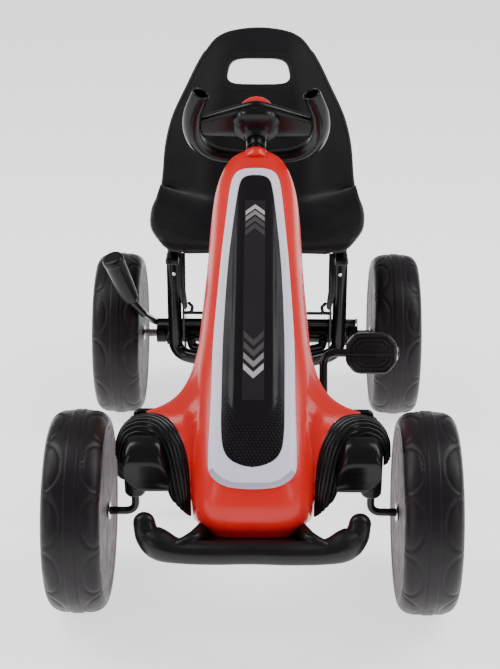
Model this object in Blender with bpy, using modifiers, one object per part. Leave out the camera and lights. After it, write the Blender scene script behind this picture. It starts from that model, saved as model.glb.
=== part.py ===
"""A child's pedal go kart, modelled as the separate pieces that it bolts together from.

Metres, +Z up. The kart drives towards -Y, and +X is to the right for someone looking at its nose.
The origin is on the ground, under the middle of the kart.
"""

import math

import bmesh
import bpy
from mathutils import Matrix, Vector

# Driving dimensions
WHEEL_R = 0.130
TYRE_W = 0.073
WHEELBASE = 0.585
TRACK = 0.441
FRONT_Y = -0.3235
REAR_Y = FRONT_Y + WHEELBASE
GAP = 0.0004

# Steering
KINGPIN_X = 0.150
BEAM_Z = 0.195
BEAM_R = 0.0125
SLEEVE_R = 0.0105
SLEEVE_Z = (0.166, 0.232)
PIN_R = 0.005
ARM_Z = 0.2365
ARM_T = 0.004
ARM_LENGTH = 0.045
TIE_Z = 0.2495
TIE_R = 0.004
SHAFT_R = 0.0065
SHAFT_FOOT = Vector((0, FRONT_Y + 0.0221, 0.2823))
SHAFT_TOP = Vector((0, FRONT_Y + 0.372, 0.526))
SHAFT_DIR = (SHAFT_TOP - SHAFT_FOOT).normalized()
WHEEL_UP = Vector((0, -SHAFT_DIR.z, SHAFT_DIR.y))

# Drive
CRANK_Y = FRONT_Y + 0.270
CRANK_Z = 0.150
CRANK_R = 0.078
CRANK_ANGLE = math.radians(56)
CRANK_ROD_R = 0.006
CRANK_ARM_X = 0.098
PEDAL_X = 0.167
CHAIN_X = 0.034
CHAIN_PITCH = 0.0127
RING_TEETH = 20
SPROCKET_TEETH = 11
RING_R = RING_TEETH * CHAIN_PITCH / (2 * math.pi)
SPROCKET_R = SPROCKET_TEETH * CHAIN_PITCH / (2 * math.pi)
CHAIN_W = 0.006
CHAIN_T = 0.005
AXLE_R = 0.006
HOUSING_R = 0.015
HOUSING_END = 0.148

# Frame and seat
TUBE_R = 0.011
COLUMN_X = 0.131
COLUMN_Y = FRONT_Y + 0.545
COLUMN_TOP = 0.2755
SEAT_RAIL_T = 0.012
SEAT_RAIL_W = 0.024
SEAT_SLIDER_H = 0.024
BRAKE_Y = REAR_Y - 0.020
BRAKE_Z = 0.158
BRAKE_R = 0.0055
CROSS_ROD_Y = REAR_Y - 0.031
CROSS_ROD_Z = 0.178

LEFT, RIGHT = -1, 1
SIDES = ((LEFT, "left"), (RIGHT, "right"))


# --- scene, materials and small helpers ---------------------------------------------------------


def clear_scene():
    for obj in list(bpy.data.objects):
        bpy.data.objects.remove(obj)


clear_scene()
PARTS = bpy.data.collections.new("pedal_go_kart")
CUTTERS = bpy.data.collections.new("cutters")
bpy.context.scene.collection.children.link(PARTS)
bpy.context.scene.collection.children.link(CUTTERS)
CUTTERS.hide_render = True


def material(name, colour, roughness, metallic=0.0):
    made = bpy.data.materials.new(name)
    made.use_nodes = True
    shader = made.node_tree.nodes["Principled BSDF"]
    shader.inputs["Base Color"].default_value = (*colour, 1)
    shader.inputs["Roughness"].default_value = roughness
    shader.inputs["Metallic"].default_value = metallic
    made.diffuse_color = (*colour, 1)
    return made


RED = material("red_plastic", (0.80, 0.05, 0.03), 0.25)
WHITE = material("white_plastic", (0.70, 0.68, 0.78), 0.30)
GLOSS_BLACK = material("gloss_black_plastic", (0.012, 0.010, 0.012), 0.15)
SATIN_BLACK = material("satin_black_plastic", (0.020, 0.018, 0.020), 0.45)
FOAM_BLACK = material("black_foam_tyre", (0.030, 0.027, 0.030), 0.60)
BLACK_STEEL = material("black_painted_steel", (0.012, 0.010, 0.013), 0.25, 0.2)
BARE_STEEL = material("zinc_plated_steel", (0.60, 0.60, 0.62), 0.30, 1.0)
GREY_PLASTIC = material("grey_plastic", (0.10, 0.09, 0.11), 0.40)


def link(name, mesh, finish, parent=None, matrix=None):
    """A new part with this mesh, kept where it is when it gets a parent."""
    obj = bpy.data.objects.new(name, mesh)
    PARTS.objects.link(obj)
    if matrix is not None:
        obj.matrix_world = matrix
    if not mesh.materials:
        mesh.materials.append(finish)
    if parent is not None:
        obj.parent = parent
        obj.matrix_parent_inverse = parent.matrix_world.inverted()
    return obj


def axis_empty(name, point, parent=None):
    """An empty on a joint's axis, for the pieces that turn or slide with it."""
    empty = bpy.data.objects.new(name, None)
    PARTS.objects.link(empty)
    empty.empty_display_size = 0.03
    empty.matrix_world = Matrix.Translation(point)
    if parent is not None:
        empty.parent = parent
        empty.matrix_parent_inverse = parent.matrix_world.inverted()
    bpy.context.view_layer.update()
    return empty


def turn_to(direction):
    """The rotation that takes +Z to this direction."""
    return Vector((0, 0, 1)).rotation_difference(Vector(direction)).to_matrix().to_4x4()


def at(point, direction=(0, 0, 1)):
    return Matrix.Translation(Vector(point)) @ turn_to(direction)


def smooth(mesh, angle=40):
    mesh.shade_smooth()
    mesh.set_sharp_from_angle(angle=math.radians(angle))


def box_mesh(name, size, bevel=0.0, segments=1):
    mesh = bpy.data.meshes.new(name)
    shape = bmesh.new()
    bmesh.ops.create_cube(shape, size=1)
    bmesh.ops.scale(shape, vec=size, verts=shape.verts)
    if bevel:
        bmesh.ops.bevel(
            shape, geom=shape.edges, offset=bevel, segments=segments, profile=0.5, affect="EDGES"
        )
    shape.to_mesh(mesh)
    shape.free()
    return mesh


def cylinder_mesh(name, radius, length, sides=24):
    mesh = bpy.data.meshes.new(name)
    shape = bmesh.new()
    bmesh.ops.create_cone(
        shape, cap_ends=True, segments=sides, radius1=radius, radius2=radius, depth=length
    )
    shape.to_mesh(mesh)
    shape.free()
    smooth(mesh)
    return mesh


def turned(name, profile, finish, point, direction, closed=False, sides=32, parent=None):
    """A turned piece: (radius, height) points down the outer side, swept round `direction`."""
    mesh = bpy.data.meshes.new(name)
    shape = bmesh.new()
    verts = [shape.verts.new((radius, 0, height)) for radius, height in profile]
    for first, second in zip(verts, verts[1:]):
        shape.edges.new((first, second))
    if closed:
        shape.edges.new((verts[-1], verts[0]))
    shape.to_mesh(mesh)
    shape.free()
    obj = link(name, mesh, finish, parent, at(point, direction))
    screw = obj.modifiers.new("turn", "SCREW")
    screw.steps = screw.render_steps = sides
    screw.use_merge_vertices = True
    screw.merge_threshold = 0.00001
    screw.use_smooth_shade = True
    return obj


def tube_curve(name, points, radius, resolution=2, radii=None):
    curve = bpy.data.curves.new(name, "CURVE")
    curve.dimensions = "3D"
    curve.bevel_depth = radius
    curve.bevel_resolution = resolution
    curve.use_fill_caps = True
    spline = curve.splines.new("POLY")
    spline.points.add(len(points) - 1)
    for index, point in enumerate(points):
        spline.points[index].co = (*point, 1)
        if radii:
            spline.points[index].radius = radii[index]
    return curve


def tube(name, points, radius, finish, parent=None, resolution=2, radii=None):
    curve = tube_curve(name, points, radius, resolution, radii)
    return link(name, curve, finish, parent)


def meshed(obj):
    """The same piece with its curve and modifiers made into a mesh."""
    bpy.context.view_layer.update()
    graph = bpy.context.evaluated_depsgraph_get()
    mesh = bpy.data.meshes.new_from_object(obj.evaluated_get(graph))
    shape = bmesh.new()
    shape.from_mesh(mesh)
    bmesh.ops.remove_doubles(shape, verts=shape.verts, dist=0.000005)
    bmesh.ops.recalc_face_normals(shape, faces=shape.faces)
    shape.to_mesh(mesh)
    shape.free()
    name, matrix, parent = obj.name, obj.matrix_world.copy(), obj.parent
    bpy.data.objects.remove(obj)
    made = bpy.data.objects.new(name, mesh)
    PARTS.objects.link(made)
    if parent is not None:
        made.parent = parent
        made.matrix_parent_inverse = parent.matrix_world.inverted()
    made.matrix_world = matrix
    bpy.context.view_layer.update()
    return made


def plate(name, loops, thickness, finish, point, direction, parent=None):
    """A flat piece: outlines in its own plane, the inner ones being holes."""
    curve = bpy.data.curves.new(name, "CURVE")
    curve.dimensions = "2D"
    curve.fill_mode = "BOTH"
    curve.extrude = thickness / 2
    for loop in loops:
        spline = curve.splines.new("POLY")
        spline.points.add(len(loop) - 1)
        for index, (across, along) in enumerate(loop):
            spline.points[index].co = (across, along, 0, 1)
        spline.use_cyclic_u = True
    return link(name, curve, finish, parent, at(point, direction))


def circle(radius, centre=(0, 0), sides=20):
    return [
        (
            centre[0] + radius * math.cos(2 * math.pi * step / sides),
            centre[1] + radius * math.sin(2 * math.pi * step / sides),
        )
        for step in range(sides)
    ]


def helper(name, mesh, matrix):
    """A cutter, or a shape that is joined into a piece."""
    obj = bpy.data.objects.new(name, mesh)
    CUTTERS.objects.link(obj)
    obj.matrix_world = matrix
    obj.hide_render = True
    obj.display_type = "WIRE"
    return obj


def boolean(obj, other, operation):
    modifier = obj.modifiers.new(other.name, "BOOLEAN")
    modifier.operation = operation
    modifier.object = other
    return obj


def join_shape(obj, mesh, matrix, name="added"):
    return boolean(obj, helper(f"{obj.name}_{name}", mesh, matrix), "UNION")


def cut_shape(obj, mesh, matrix, name="cut"):
    return boolean(obj, helper(f"{obj.name}_{name}", mesh, matrix), "DIFFERENCE")


def tube_mesh(name, points, radius, resolution=2, radii=None):
    """A tube as a mesh in world space, for joining into another piece."""
    obj = meshed(tube(name, points, radius, BLACK_STEEL, None, resolution, radii))
    mesh = obj.data
    bpy.data.objects.remove(obj)
    return mesh


def front(distance):
    """World Y of a place this far behind the front axle."""
    return FRONT_Y + distance


def rounded_path(points, radius, steps=4):
    """The polyline through these points with each inner corner rounded."""
    points = [Vector(point) for point in points]
    path = [points[0]]
    for before, corner, after in zip(points, points[1:], points[2:]):
        into = (before - corner).normalized()
        out = (after - corner).normalized()
        half_angle = into.angle(out) / 2
        reach = radius / math.tan(half_angle)
        start, end = corner + into * reach, corner + out * reach
        for step in range(steps + 1):
            t = step / steps
            path.append(start * (1 - t) ** 2 + corner * 2 * t * (1 - t) + end * t**2)
    path.append(points[-1])
    return path


# --- surfaces that several pieces share ---------------------------------------------------------


def blend(values, position):
    """A smooth curve through equally spaced values, at a position from 0 to len(values) - 1."""
    index = min(int(position), len(values) - 2)
    t = position - index
    before = values[max(index - 1, 0)]
    first, second = values[index], values[index + 1]
    after = values[min(index + 2, len(values) - 1)]
    return (
        first
        + 0.5 * t * (second - before)
        + t * t * (before - 2.5 * first + 2 * second - 0.5 * after)
        + t**3 * (1.5 * first - 0.5 * before - 1.5 * second + 0.5 * after)
    )


# Hood stations from the steering collar to the chin. Each gives the crown of the section and its
# lower edge as (distance behind the front axle, height), and half of its width.
HOOD_STATIONS = (
    ((0.338, 0.514), (0.352, 0.480), 0.019),
    ((0.327, 0.508), (0.347, 0.455), 0.038),
    ((0.303, 0.496), (0.335, 0.425), 0.056),
    ((0.270, 0.476), (0.310, 0.385), 0.062),
    ((0.200, 0.430), (0.235, 0.320), 0.067),
    ((0.110, 0.372), (0.140, 0.245), 0.0755),
    ((0.030, 0.321), (0.050, 0.200), 0.083),
    ((-0.040, 0.276), (-0.010, 0.165), 0.0805),
    ((-0.088, 0.241), (-0.045, 0.154), 0.0755),
    ((-0.110, 0.210), (-0.060, 0.152), 0.072),
    ((-0.115, 0.182), (-0.066, 0.152), 0.067),
    ((-0.104, 0.158), (-0.070, 0.152), 0.054),
)
HOOD_SQUARENESS = 3.2
HOOD_T = 0.0025


def hood_point(station, across, lift=0.0):
    """A point of the hood's outer surface: `station` along it, `across` from -1 to 1."""
    crown_y = blend([item[0][0] for item in HOOD_STATIONS], station)
    crown_z = blend([item[0][1] for item in HOOD_STATIONS], station)
    edge_y = blend([item[1][0] for item in HOOD_STATIONS], station)
    edge_z = blend([item[1][1] for item in HOOD_STATIONS], station)
    half = blend([item[2] for item in HOOD_STATIONS], station)
    angle = across * math.pi / 2
    power = 2 / HOOD_SQUARENESS
    side = math.copysign(abs(math.sin(angle)) ** power, across)
    rise = max(math.cos(angle), 0.0) ** power
    edge = Vector((0, front(edge_y), edge_z))
    crown = Vector((0, front(crown_y), crown_z))
    up = crown - edge
    return edge + up * (rise + lift / up.length) + Vector((side * (half + lift), 0, 0))


def hood_at(station, x, lift):
    """A point over the hood's upper surface, this far from its middle line and raised by `lift`."""
    half = blend([item[2] for item in HOOD_STATIONS], station)
    share = min(abs(x) / half, 1) ** (HOOD_SQUARENESS / 2)
    across = math.copysign(math.asin(share) * 2 / math.pi, x)
    spot = hood_point(station, across)
    step = 0.02
    along = hood_point(min(station + step, 11), across) - hood_point(station - step, across)
    sideways = hood_point(station, across + step) - hood_point(station, across - step)
    return spot + along.cross(sideways).normalized() * lift


def grid_mesh(name, rows, closed_rows=False):
    """A sheet of quads through rows of points."""
    mesh = bpy.data.meshes.new(name)
    shape = bmesh.new()
    made = [[shape.verts.new(point) for point in row] for row in rows]
    for first, second in zip(made, made[1:]):
        count = len(first)
        for index in range(count if closed_rows else count - 1):
            after = (index + 1) % count
            shape.faces.new((first[index], first[after], second[after], second[index]))
    shape.to_mesh(mesh)
    shape.free()
    return mesh


def solidify(obj, thickness, offset):
    modifier = obj.modifiers.new("wall", "SOLIDIFY")
    modifier.thickness = thickness
    modifier.offset = offset
    modifier.use_even_offset = False
    return obj


# --- frame --------------------------------------------------------------------------------------


def make_front_axle_beam():
    """Cross tube with a kingpin sleeve welded to each end."""
    beam = link(
        "front_axle_beam",
        cylinder_mesh("front_axle_beam", BEAM_R, 2 * KINGPIN_X, 20),
        BLACK_STEEL,
        None,
        at((0, FRONT_Y, BEAM_Z), (1, 0, 0)),
    )
    sleeve_height = SLEEVE_Z[1] - SLEEVE_Z[0]
    for side, word in SIDES:
        middle = (side * KINGPIN_X, FRONT_Y, sum(SLEEVE_Z) / 2)
        join_shape(beam, cylinder_mesh("sleeve", SLEEVE_R, sleeve_height), at(middle), word)
        cut_shape(beam, cylinder_mesh("bore", PIN_R + 0.0008, 0.12, 16), at(middle), f"{word}_bore")


def make_kingpin_bushes():
    """Round-bottomed plastic bush under each sleeve, which carries the kart's weight."""
    low, high = 0.1535, SLEEVE_Z[0] - GAP
    profile = (
        (0.0105, high),
        (0.0125, high - 0.002),
        (0.0125, low + 0.004),
        (0.0095, low),
        (PIN_R + 0.0008, low),
        (PIN_R + 0.0008, high),
    )
    for side, word in SIDES:
        turned(
            f"kingpin_bush_{word}", profile, SATIN_BLACK, (side * KINGPIN_X, FRONT_Y, 0), (0, 0, 1),
            closed=True, sides=24,
        )


def make_main_spine():
    """Main tube: from the front beam, down under the crank, to the rear axle housing."""
    path = rounded_path(
        (
            (0, front(BEAM_R + GAP), BEAM_Z),
            (0, front(0.050), 0.190),
            (0, front(0.140), 0.117),
            (0, REAR_Y - HOUSING_R - GAP, 0.125),
        ),
        0.08,
    )
    spine = meshed(tube("main_spine", path, 0.014, BLACK_STEEL, resolution=3))
    saddle = box_mesh("saddle", (0.024, 0.070, 0.026))
    join_shape(spine, saddle, at((0, COLUMN_Y - 0.076, 0.0935 + 0.013)), "saddle")


def make_frame_hoops():
    """Front hoop: both seat columns, bent in under the spine. Rear hoop: a thinner rail behind."""
    low = 0.082
    half = (
        (COLUMN_X, COLUMN_Y - 0.006, COLUMN_TOP),
        (COLUMN_X, COLUMN_Y, 0.112),
        (0.080, COLUMN_Y - 0.024, 0.110),
        (0.050, COLUMN_Y - 0.062, low),
    )
    points = [(-x, y, z) for x, y, z in half] + [half[index] for index in (3, 2, 1, 0)]
    tube("seat_hoop", rounded_path(points, 0.026), TUBE_R, BLACK_STEEL, resolution=3)
    half = (
        (0.1065, COLUMN_Y + 0.0135, 0.128),
        (0.1040, COLUMN_Y + 0.0100, 0.119),
        (0.0820, COLUMN_Y + 0.0020, 0.117),
        (0.0420, COLUMN_Y - 0.0360, low),
    )
    points = [(-x, y, z) for x, y, z in half] + [half[index] for index in (3, 2, 1, 0)]
    tube("rear_rail", rounded_path(points, 0.006, 3), 0.0070, BLACK_STEEL)


def make_axle_brackets():
    """Flat plates that hold the axle housing, the brake rod and the cross rod to the columns."""
    def yz(y, z):
        return (y - REAR_Y, z - WHEEL_R)

    for side, word in SIDES:
        outline = [
            yz(COLUMN_Y - 0.010, 0.136),
            yz(REAR_Y - 0.0195, 0.136),
            yz(REAR_Y - 0.0195, 0.110),
            yz(REAR_Y + 0.010, 0.106),
            yz(REAR_Y + 0.022, 0.118),
            yz(REAR_Y + 0.022, 0.142),
            yz(REAR_Y - 0.004, 0.172),
            yz(REAR_Y - 0.024, 0.212),
            yz(COLUMN_Y + 0.004, 0.262),
            yz(COLUMN_Y - 0.010, 0.262),
        ]
        holes = [
            circle(HOUSING_R + GAP, (0, 0), 24),
            circle(BRAKE_R + 0.0008, yz(BRAKE_Y, BRAKE_Z), 16),
            circle(0.0029, yz(CROSS_ROD_Y, CROSS_ROD_Z), 12),
        ]
        curve = plate(
            f"axle_bracket_{word}", [outline, *holes], 0.003, BLACK_STEEL,
            (0, 0, 0), (0, 0, 1),
        )
        # The outline's own axes are world Y and Z.
        curve.matrix_world = Matrix(
            (
                (0, 0, 1, side * 0.1165),
                (1, 0, 0, REAR_Y),
                (0, 1, 0, WHEEL_R),
                (0, 0, 0, 1),
            )
        )


def make_rear_housings():
    """Two tubes round the rear axle, with room between them for the sprocket."""
    bore = 0.0105
    for word, start, end in (
        ("left", -HOUSING_END, CHAIN_X - 0.014),
        ("right", CHAIN_X + 0.016, HOUSING_END),
    ):
        profile = ((HOUSING_R, end), (HOUSING_R, start), (bore, start), (bore, end))
        turned(
            f"rear_axle_housing_{word}", profile, BLACK_STEEL, (0, REAR_Y, WHEEL_R), (1, 0, 0),
            closed=True, sides=24,
        )


def make_rear_bushes():
    for side, word in SIDES:
        bore = AXLE_R + 0.0005
        profile = (
            (HOUSING_R + 0.0005, 0.015),
            (HOUSING_R + 0.0005, GAP),
            (0.0100, GAP),
            (0.0100, -0.014),
            (bore, -0.014),
            (bore, 0.015),
        )
        turned(
            f"rear_bush_{word}", profile, SATIN_BLACK, (side * HOUSING_END, REAR_Y, WHEEL_R),
            (side, 0, 0), closed=True, sides=24,
        )


def make_crank_hanger():
    """Bottom bracket tube on a short post, welded over the spine."""
    start, end = -0.045, CHAIN_X - 0.012
    hanger = link(
        "crank_hanger",
        cylinder_mesh("crank_hanger", 0.0145, end - start),
        BLACK_STEEL,
        None,
        at(((start + end) / 2, CRANK_Y, CRANK_Z), (1, 0, 0)),
    )
    cut_shape(
        hanger,
        cylinder_mesh("bore", CRANK_ROD_R + 0.0008, 0.2, 16),
        at((0, CRANK_Y, CRANK_Z), (1, 0, 0)),
        "bore",
    )
    tab = box_mesh("tab", (0.004, 0.030, 0.030))
    for side, word in SIDES:
        join_shape(hanger, tab, at((side * 0.0165, CRANK_Y, CRANK_Z - 0.024)), f"tab_{word}")


def make_cross_rod():
    """Thin rod between the two axle brackets, with its ends turned up as hooks."""
    reach = 0.1165 + 0.0030
    points = (
        (-reach, CROSS_ROD_Y, CROSS_ROD_Z),
        (reach, CROSS_ROD_Y, CROSS_ROD_Z),
    )
    tube("cross_rod", points, 0.0025, BLACK_STEEL)


def make_steering_bracket():
    """Upright plate on the spine that holds the foot of the steering shaft."""
    y = front(0.075)
    along = (0.075 - 0.021) / SHAFT_DIR.y
    shaft_z = SHAFT_FOOT.z + along * SHAFT_DIR.z
    low = 0.191
    high = shaft_z + 0.014
    bracket = link(
        "steering_bracket",
        box_mesh("steering_bracket", (0.034, 0.003, high - low)),
        BLACK_STEEL,
        None,
        at((0, y, (low + high) / 2)),
    )
    hole = cylinder_mesh("hole", 0.0105, 0.02, 16)
    cut_shape(bracket, hole, at((0, y, shaft_z), (0, 1, 0)), "hole")


# --- bodywork -----------------------------------------------------------------------------------


def make_hood():
    """Thin moulded hood, open underneath, with a shoulder each side that flares over its fender."""
    rows = []
    last = len(HOOD_STATIONS) - 1
    steps = 20
    across_steps = 14
    for step in range(steps + 1):
        station = last * step / steps
        rows.append(
            [
                hood_point(station, -1 + 2 * index / across_steps)
                for index in range(across_steps + 1)
            ]
        )
    hood = meshed(solidify(link("hood", grid_mesh("hood", rows), RED), HOOD_T, 1))
    opening = box_mesh("axle_opening", (0.30, 0.100, 0.110))
    cut_shape(hood, opening, at((0, front(0.026), 0.201)), "axle_opening")
    neck = cylinder_mesh("neck", 0.0124, 0.08, 20)
    cut_shape(hood, neck, at(wheel_point(0, 0, -0.030), SHAFT_DIR), "neck")
    for side, word in SIDES:
        join_shape(hood, shoulder_mesh(side), Matrix(), f"shoulder_{word}")


def shoulder_mesh(side):
    """The flare from the hood's flank out over the fender, as a closed sheet."""
    rows = []
    for y, drop in ((0.095, 0.014), (0.062, 0.002), (0.030, 0.0), (-0.005, 0.001), (-0.035, 0.008)):
        row = []
        for x, z in (
            (0.062, 0.2760), (0.080, 0.2800), (0.089, 0.2780), (0.103, 0.2725), (0.119, 0.2655),
            (0.130, 0.2610), (0.1375, 0.2595),
        ):
            row.append(Vector((side * (x - 0.3 * drop * (x - 0.056) / 0.08), front(y), z - drop)))
        rows.append(row)
    obj = meshed(solidify(link("shoulder", grid_mesh("shoulder", rows), RED), HOOD_T, 0))
    mesh = obj.data
    bpy.data.objects.remove(obj)
    return mesh


def overlay_mesh(name, rows):
    """A sheet that follows the hood; each row is (station, x positions, lift)."""
    return grid_mesh(
        name, [[hood_at(station, x, lift) for x in across] for station, across, lift in rows]
    )


TRIM_ROWS = (
    # station, inner half width, outer half width
    (2.12, 0.0, 0.0190),
    (2.28, 0.0, 0.0265),
    (2.45, 0.0120, 0.0300),
    (2.70, 0.0210, 0.0325),
    (3.50, 0.0275, 0.0378),
    (4.50, 0.0352, 0.0452),
    (5.50, 0.0387, 0.0506),
    (6.50, 0.0389, 0.0515),
    (7.20, 0.0385, 0.0528),
    (7.60, 0.0350, 0.0530),
    (7.85, 0.0270, 0.0528),
    (8.05, 0.0120, 0.0510),
    (8.20, 0.0, 0.0470),
    (8.35, 0.0, 0.0420),
    (8.60, 0.0, 0.0300),
    (8.75, 0.0, 0.0180),
)
OVERLAY_GAP = 0.0012


def make_hood_trim():
    """Pale frame round the hood's dark panel."""
    mesh = bpy.data.meshes.new("hood_trim")
    shape = bmesh.new()
    rows = []
    for station, inner, outer in TRIM_ROWS:
        band = (inner + outer) / 2
        half = (inner, band, outer)
        across = [-x for x in reversed(half)] + [-inner / 2, 0, inner / 2] + list(half)
        lift = OVERLAY_GAP + (0.0006 if station > 7.5 else 0)
        rows.append([shape.verts.new(hood_at(station, x, lift)) for x in across])
    widths = [inner for _, inner, _ in TRIM_ROWS]
    for index, (first, second) in enumerate(zip(rows, rows[1:])):
        in_hole = widths[index] > 0 and widths[index + 1] > 0
        for column in range(len(first) - 1):
            if in_hole and 2 <= column <= 5:
                continue
            corners = (first[column], first[column + 1], second[column + 1], second[column])
            shape.faces.new(corners)
    bmesh.ops.remove_doubles(shape, verts=shape.verts, dist=0.00001)
    shape.to_mesh(mesh)
    shape.free()
    trim = link("hood_trim", mesh, WHITE)
    solidify(trim, 0.003, -1)


def strip(name, rows, thickness, finish):
    """A closed strip over the hood, through rows of (station, half width, lift)."""
    sheet = [
        (station, [half * (-1 + 2 * step / 6) for step in range(7)], lift)
        for station, half, lift in rows
    ]
    return solidify(link(name, overlay_mesh(name, sheet), finish), thickness, -1)


def make_hood_panel():
    """Dark panel inside the frame. Its round-ended tongue lies over the top of the grille."""
    rows = (
        (2.49, 0.0115, OVERLAY_GAP),
        (2.74, 0.0203, OVERLAY_GAP),
        (3.50, 0.0268, OVERLAY_GAP),
        (4.50, 0.0345, OVERLAY_GAP),
        (5.50, 0.0379, OVERLAY_GAP),
        (6.38, 0.0381, OVERLAY_GAP),
        (6.44, 0.0290, 0.0030),
        (6.75, 0.0270, 0.0030),
        (6.92, 0.0210, 0.0030),
        (7.02, 0.0110, 0.0030),
    )
    strip("hood_panel", rows, 0.0022, GLOSS_BLACK)


def make_hood_grille():
    rows = (
        (6.46, 0.0380, OVERLAY_GAP),
        (7.20, 0.0377, OVERLAY_GAP),
        (7.60, 0.0342, OVERLAY_GAP),
        (7.83, 0.0265, OVERLAY_GAP),
        (8.00, 0.0130, OVERLAY_GAP),
    )
    strip("hood_grille", rows, 0.0012, SATIN_BLACK)


def make_fenders():
    """Black scoop under each shoulder, open behind and below round the kingpin."""
    steps = 10
    for side, word in SIDES:
        rows = []
        for x, reach, top, low in (
            (0.0865, 0.080, 0.2515, 0.152),
            (0.0950, 0.088, 0.2530, 0.165),
            (0.1100, 0.092, 0.2535, 0.182),
            (0.1300, 0.092, 0.2530, 0.188),
            (0.1480, 0.086, 0.2520, 0.188),
            (0.1580, 0.074, 0.2515, 0.188),
            (0.1640, 0.058, 0.2475, 0.190),
        ):
            row = []
            for step in range(steps + 1):
                angle = step / steps * math.pi / 2
                y = 0.034 - reach * math.sin(angle)
                z = low + (top - low) * max(math.cos(angle), 0) ** 0.6
                row.append(Vector((side * x, front(y), z)))
            rows.append(row)
        fender = link(f"fender_{word}", grid_mesh(f"fender_{word}", rows), GLOSS_BLACK)
        tidy_normals(fender)
        solidify(fender, 0.0022, 0)


def tidy_normals(obj):
    shape = bmesh.new()
    shape.from_mesh(obj.data)
    bmesh.ops.recalc_face_normals(shape, faces=shape.faces)
    shape.to_mesh(obj.data)
    shape.free()


def make_bumper():
    """Moustache bumper with a neck that goes in under the nose."""
    half = (
        (0.000, -0.134, 0.1500),
        (0.045, -0.134, 0.1490),
        (0.085, -0.129, 0.1475),
        (0.114, -0.119, 0.1500),
        (0.133, -0.106, 0.1600),
        (0.140, -0.097, 0.1720),
    )
    points = [(-x, front(y), z) for x, y, z in reversed(half[1:])]
    points += [(x, front(y), z) for x, y, z in half]
    radii = [0.55, 0.92, 1, 1, 1, 1, 1, 1, 1, 0.92, 0.55]
    bumper = meshed(tube("bumper", points, 0.0145, SATIN_BLACK, resolution=3, radii=radii))
    neck = box_mesh("neck", (0.078, 0.075, 0.013), 0.003)
    join_shape(bumper, neck, at((0, front(-0.096), 0.1445)), "neck")


# --- seat ---------------------------------------------------------------------------------------

# Stations of the seat shell from its front lip, back along the pan and up the back rest:
# distance behind the front axle, height, half width, and how far the side edges stand proud.
SEAT_STATIONS = (
    (0.4620, 0.313, 0.106, 0.000),
    (0.4570, 0.321, 0.130, 0.003),
    (0.4680, 0.330, 0.148, 0.008),
    (0.5100, 0.325, 0.162, 0.018),
    (0.5900, 0.314, 0.166, 0.028),
    (0.6550, 0.308, 0.162, 0.034),
    (0.7000, 0.320, 0.157, 0.038),
    (0.7200, 0.352, 0.156, 0.040),
    (0.7350, 0.400, 0.154, 0.038),
    (0.7500, 0.445, 0.144, 0.032),
    (0.7640, 0.490, 0.122, 0.024),
    (0.7770, 0.532, 0.098, 0.016),
    (0.7860, 0.562, 0.076, 0.009),
    (0.7900, 0.575, 0.056, 0.005),
    (0.7920, 0.5815, 0.030, 0.002),
)
SEAT_T = 0.004


def seat_point(station, across):
    """A point of the seat's upper and front surface."""
    columns = [[item[column] for item in SEAT_STATIONS] for column in range(4)]
    y, z, half, proud = (blend(values, station) for values in columns)
    step = 0.05
    last = len(SEAT_STATIONS) - 1
    low, high = max(station - step, 0), min(station + step, last)
    dy = blend(columns[0], high) - blend(columns[0], low)
    dz = blend(columns[1], high) - blend(columns[1], low)
    normal = Vector((0, -dz, dy)).normalized()
    rise = proud * abs(across) ** 3.5
    return Vector((across * half, front(y), z)) + normal * rise


def make_seat_shell(parent):
    last = len(SEAT_STATIONS) - 1
    steps, across_steps = 22, 14
    rows = [
        [
            seat_point(last * step / steps, -1 + 2 * index / across_steps)
            for index in range(across_steps + 1)
        ]
        for step in range(steps + 1)
    ]
    shell = link("seat_shell", grid_mesh("seat_shell", rows), SATIN_BLACK, parent)
    solidify(shell, SEAT_T, -1)
    tilt = Matrix.Rotation(math.radians(-17), 4, "X")
    slot = box_mesh("slot", (0.100, 0.080, 0.040), 0.016, 3)
    cut_shape(shell, slot, at((0, front(0.775), 0.520)) @ tilt, "handle_slot")


def make_seat_rails():
    """Fixed rail on top of each column, which the seat slides along."""
    middle_y = front(0.565)
    for side, word in SIDES:
        link(
            f"seat_rail_{word}",
            box_mesh("seat_rail", (SEAT_RAIL_W, 0.170, SEAT_RAIL_T), 0.002),
            BLACK_STEEL,
            None,
            at((side * COLUMN_X, middle_y, COLUMN_TOP + GAP + SEAT_RAIL_T / 2)),
        )


def make_seat_sliders(parent):
    """Slider bolted under the pan, sitting on its rail."""
    low = COLUMN_TOP + 2 * GAP + SEAT_RAIL_T
    for side, word in SIDES:
        link(
            f"seat_slider_{word}",
            box_mesh("seat_slider", (0.026, 0.110, SEAT_SLIDER_H), 0.003),
            SATIN_BLACK,
            parent,
            at((side * (COLUMN_X - 0.008), front(0.575), low + SEAT_SLIDER_H / 2)),
        )


# --- wheels -------------------------------------------------------------------------------------

TYRE_HALF = TYRE_W / 2
HUB_OUT = 0.0775


def tyre_profile():
    half = (
        (WHEEL_R, 0.000),
        (WHEEL_R - 0.0012, 0.016),
        (WHEEL_R - 0.0045, 0.027),
        (WHEEL_R - 0.0100, 0.0335),
        (WHEEL_R - 0.0200, TYRE_HALF),
        (0.0850, TYRE_HALF),
        (HUB_OUT + GAP, 0.0350),
    )
    top = [(radius, along) for radius, along in reversed(half)]
    return top + [(radius, -along) for radius, along in half[1:]]


HUB_PROFILE = (
    (HUB_OUT, 0.0340),
    (HUB_OUT, -0.0340),
    (0.0700, -0.0340),
    (0.0660, -0.0315),
    (AXLE_R + GAP, -0.0315),
    (AXLE_R + GAP, 0.0315),
    (0.0660, 0.0315),
    (0.0700, 0.0340),
)
CAP_PROFILE = (
    (0.000, 0.0390),
    (0.007, 0.0382),
    (0.0125, 0.0355),
    (0.0145, 0.0315 + GAP),
    (0.000, 0.0315 + GAP),
)


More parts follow.
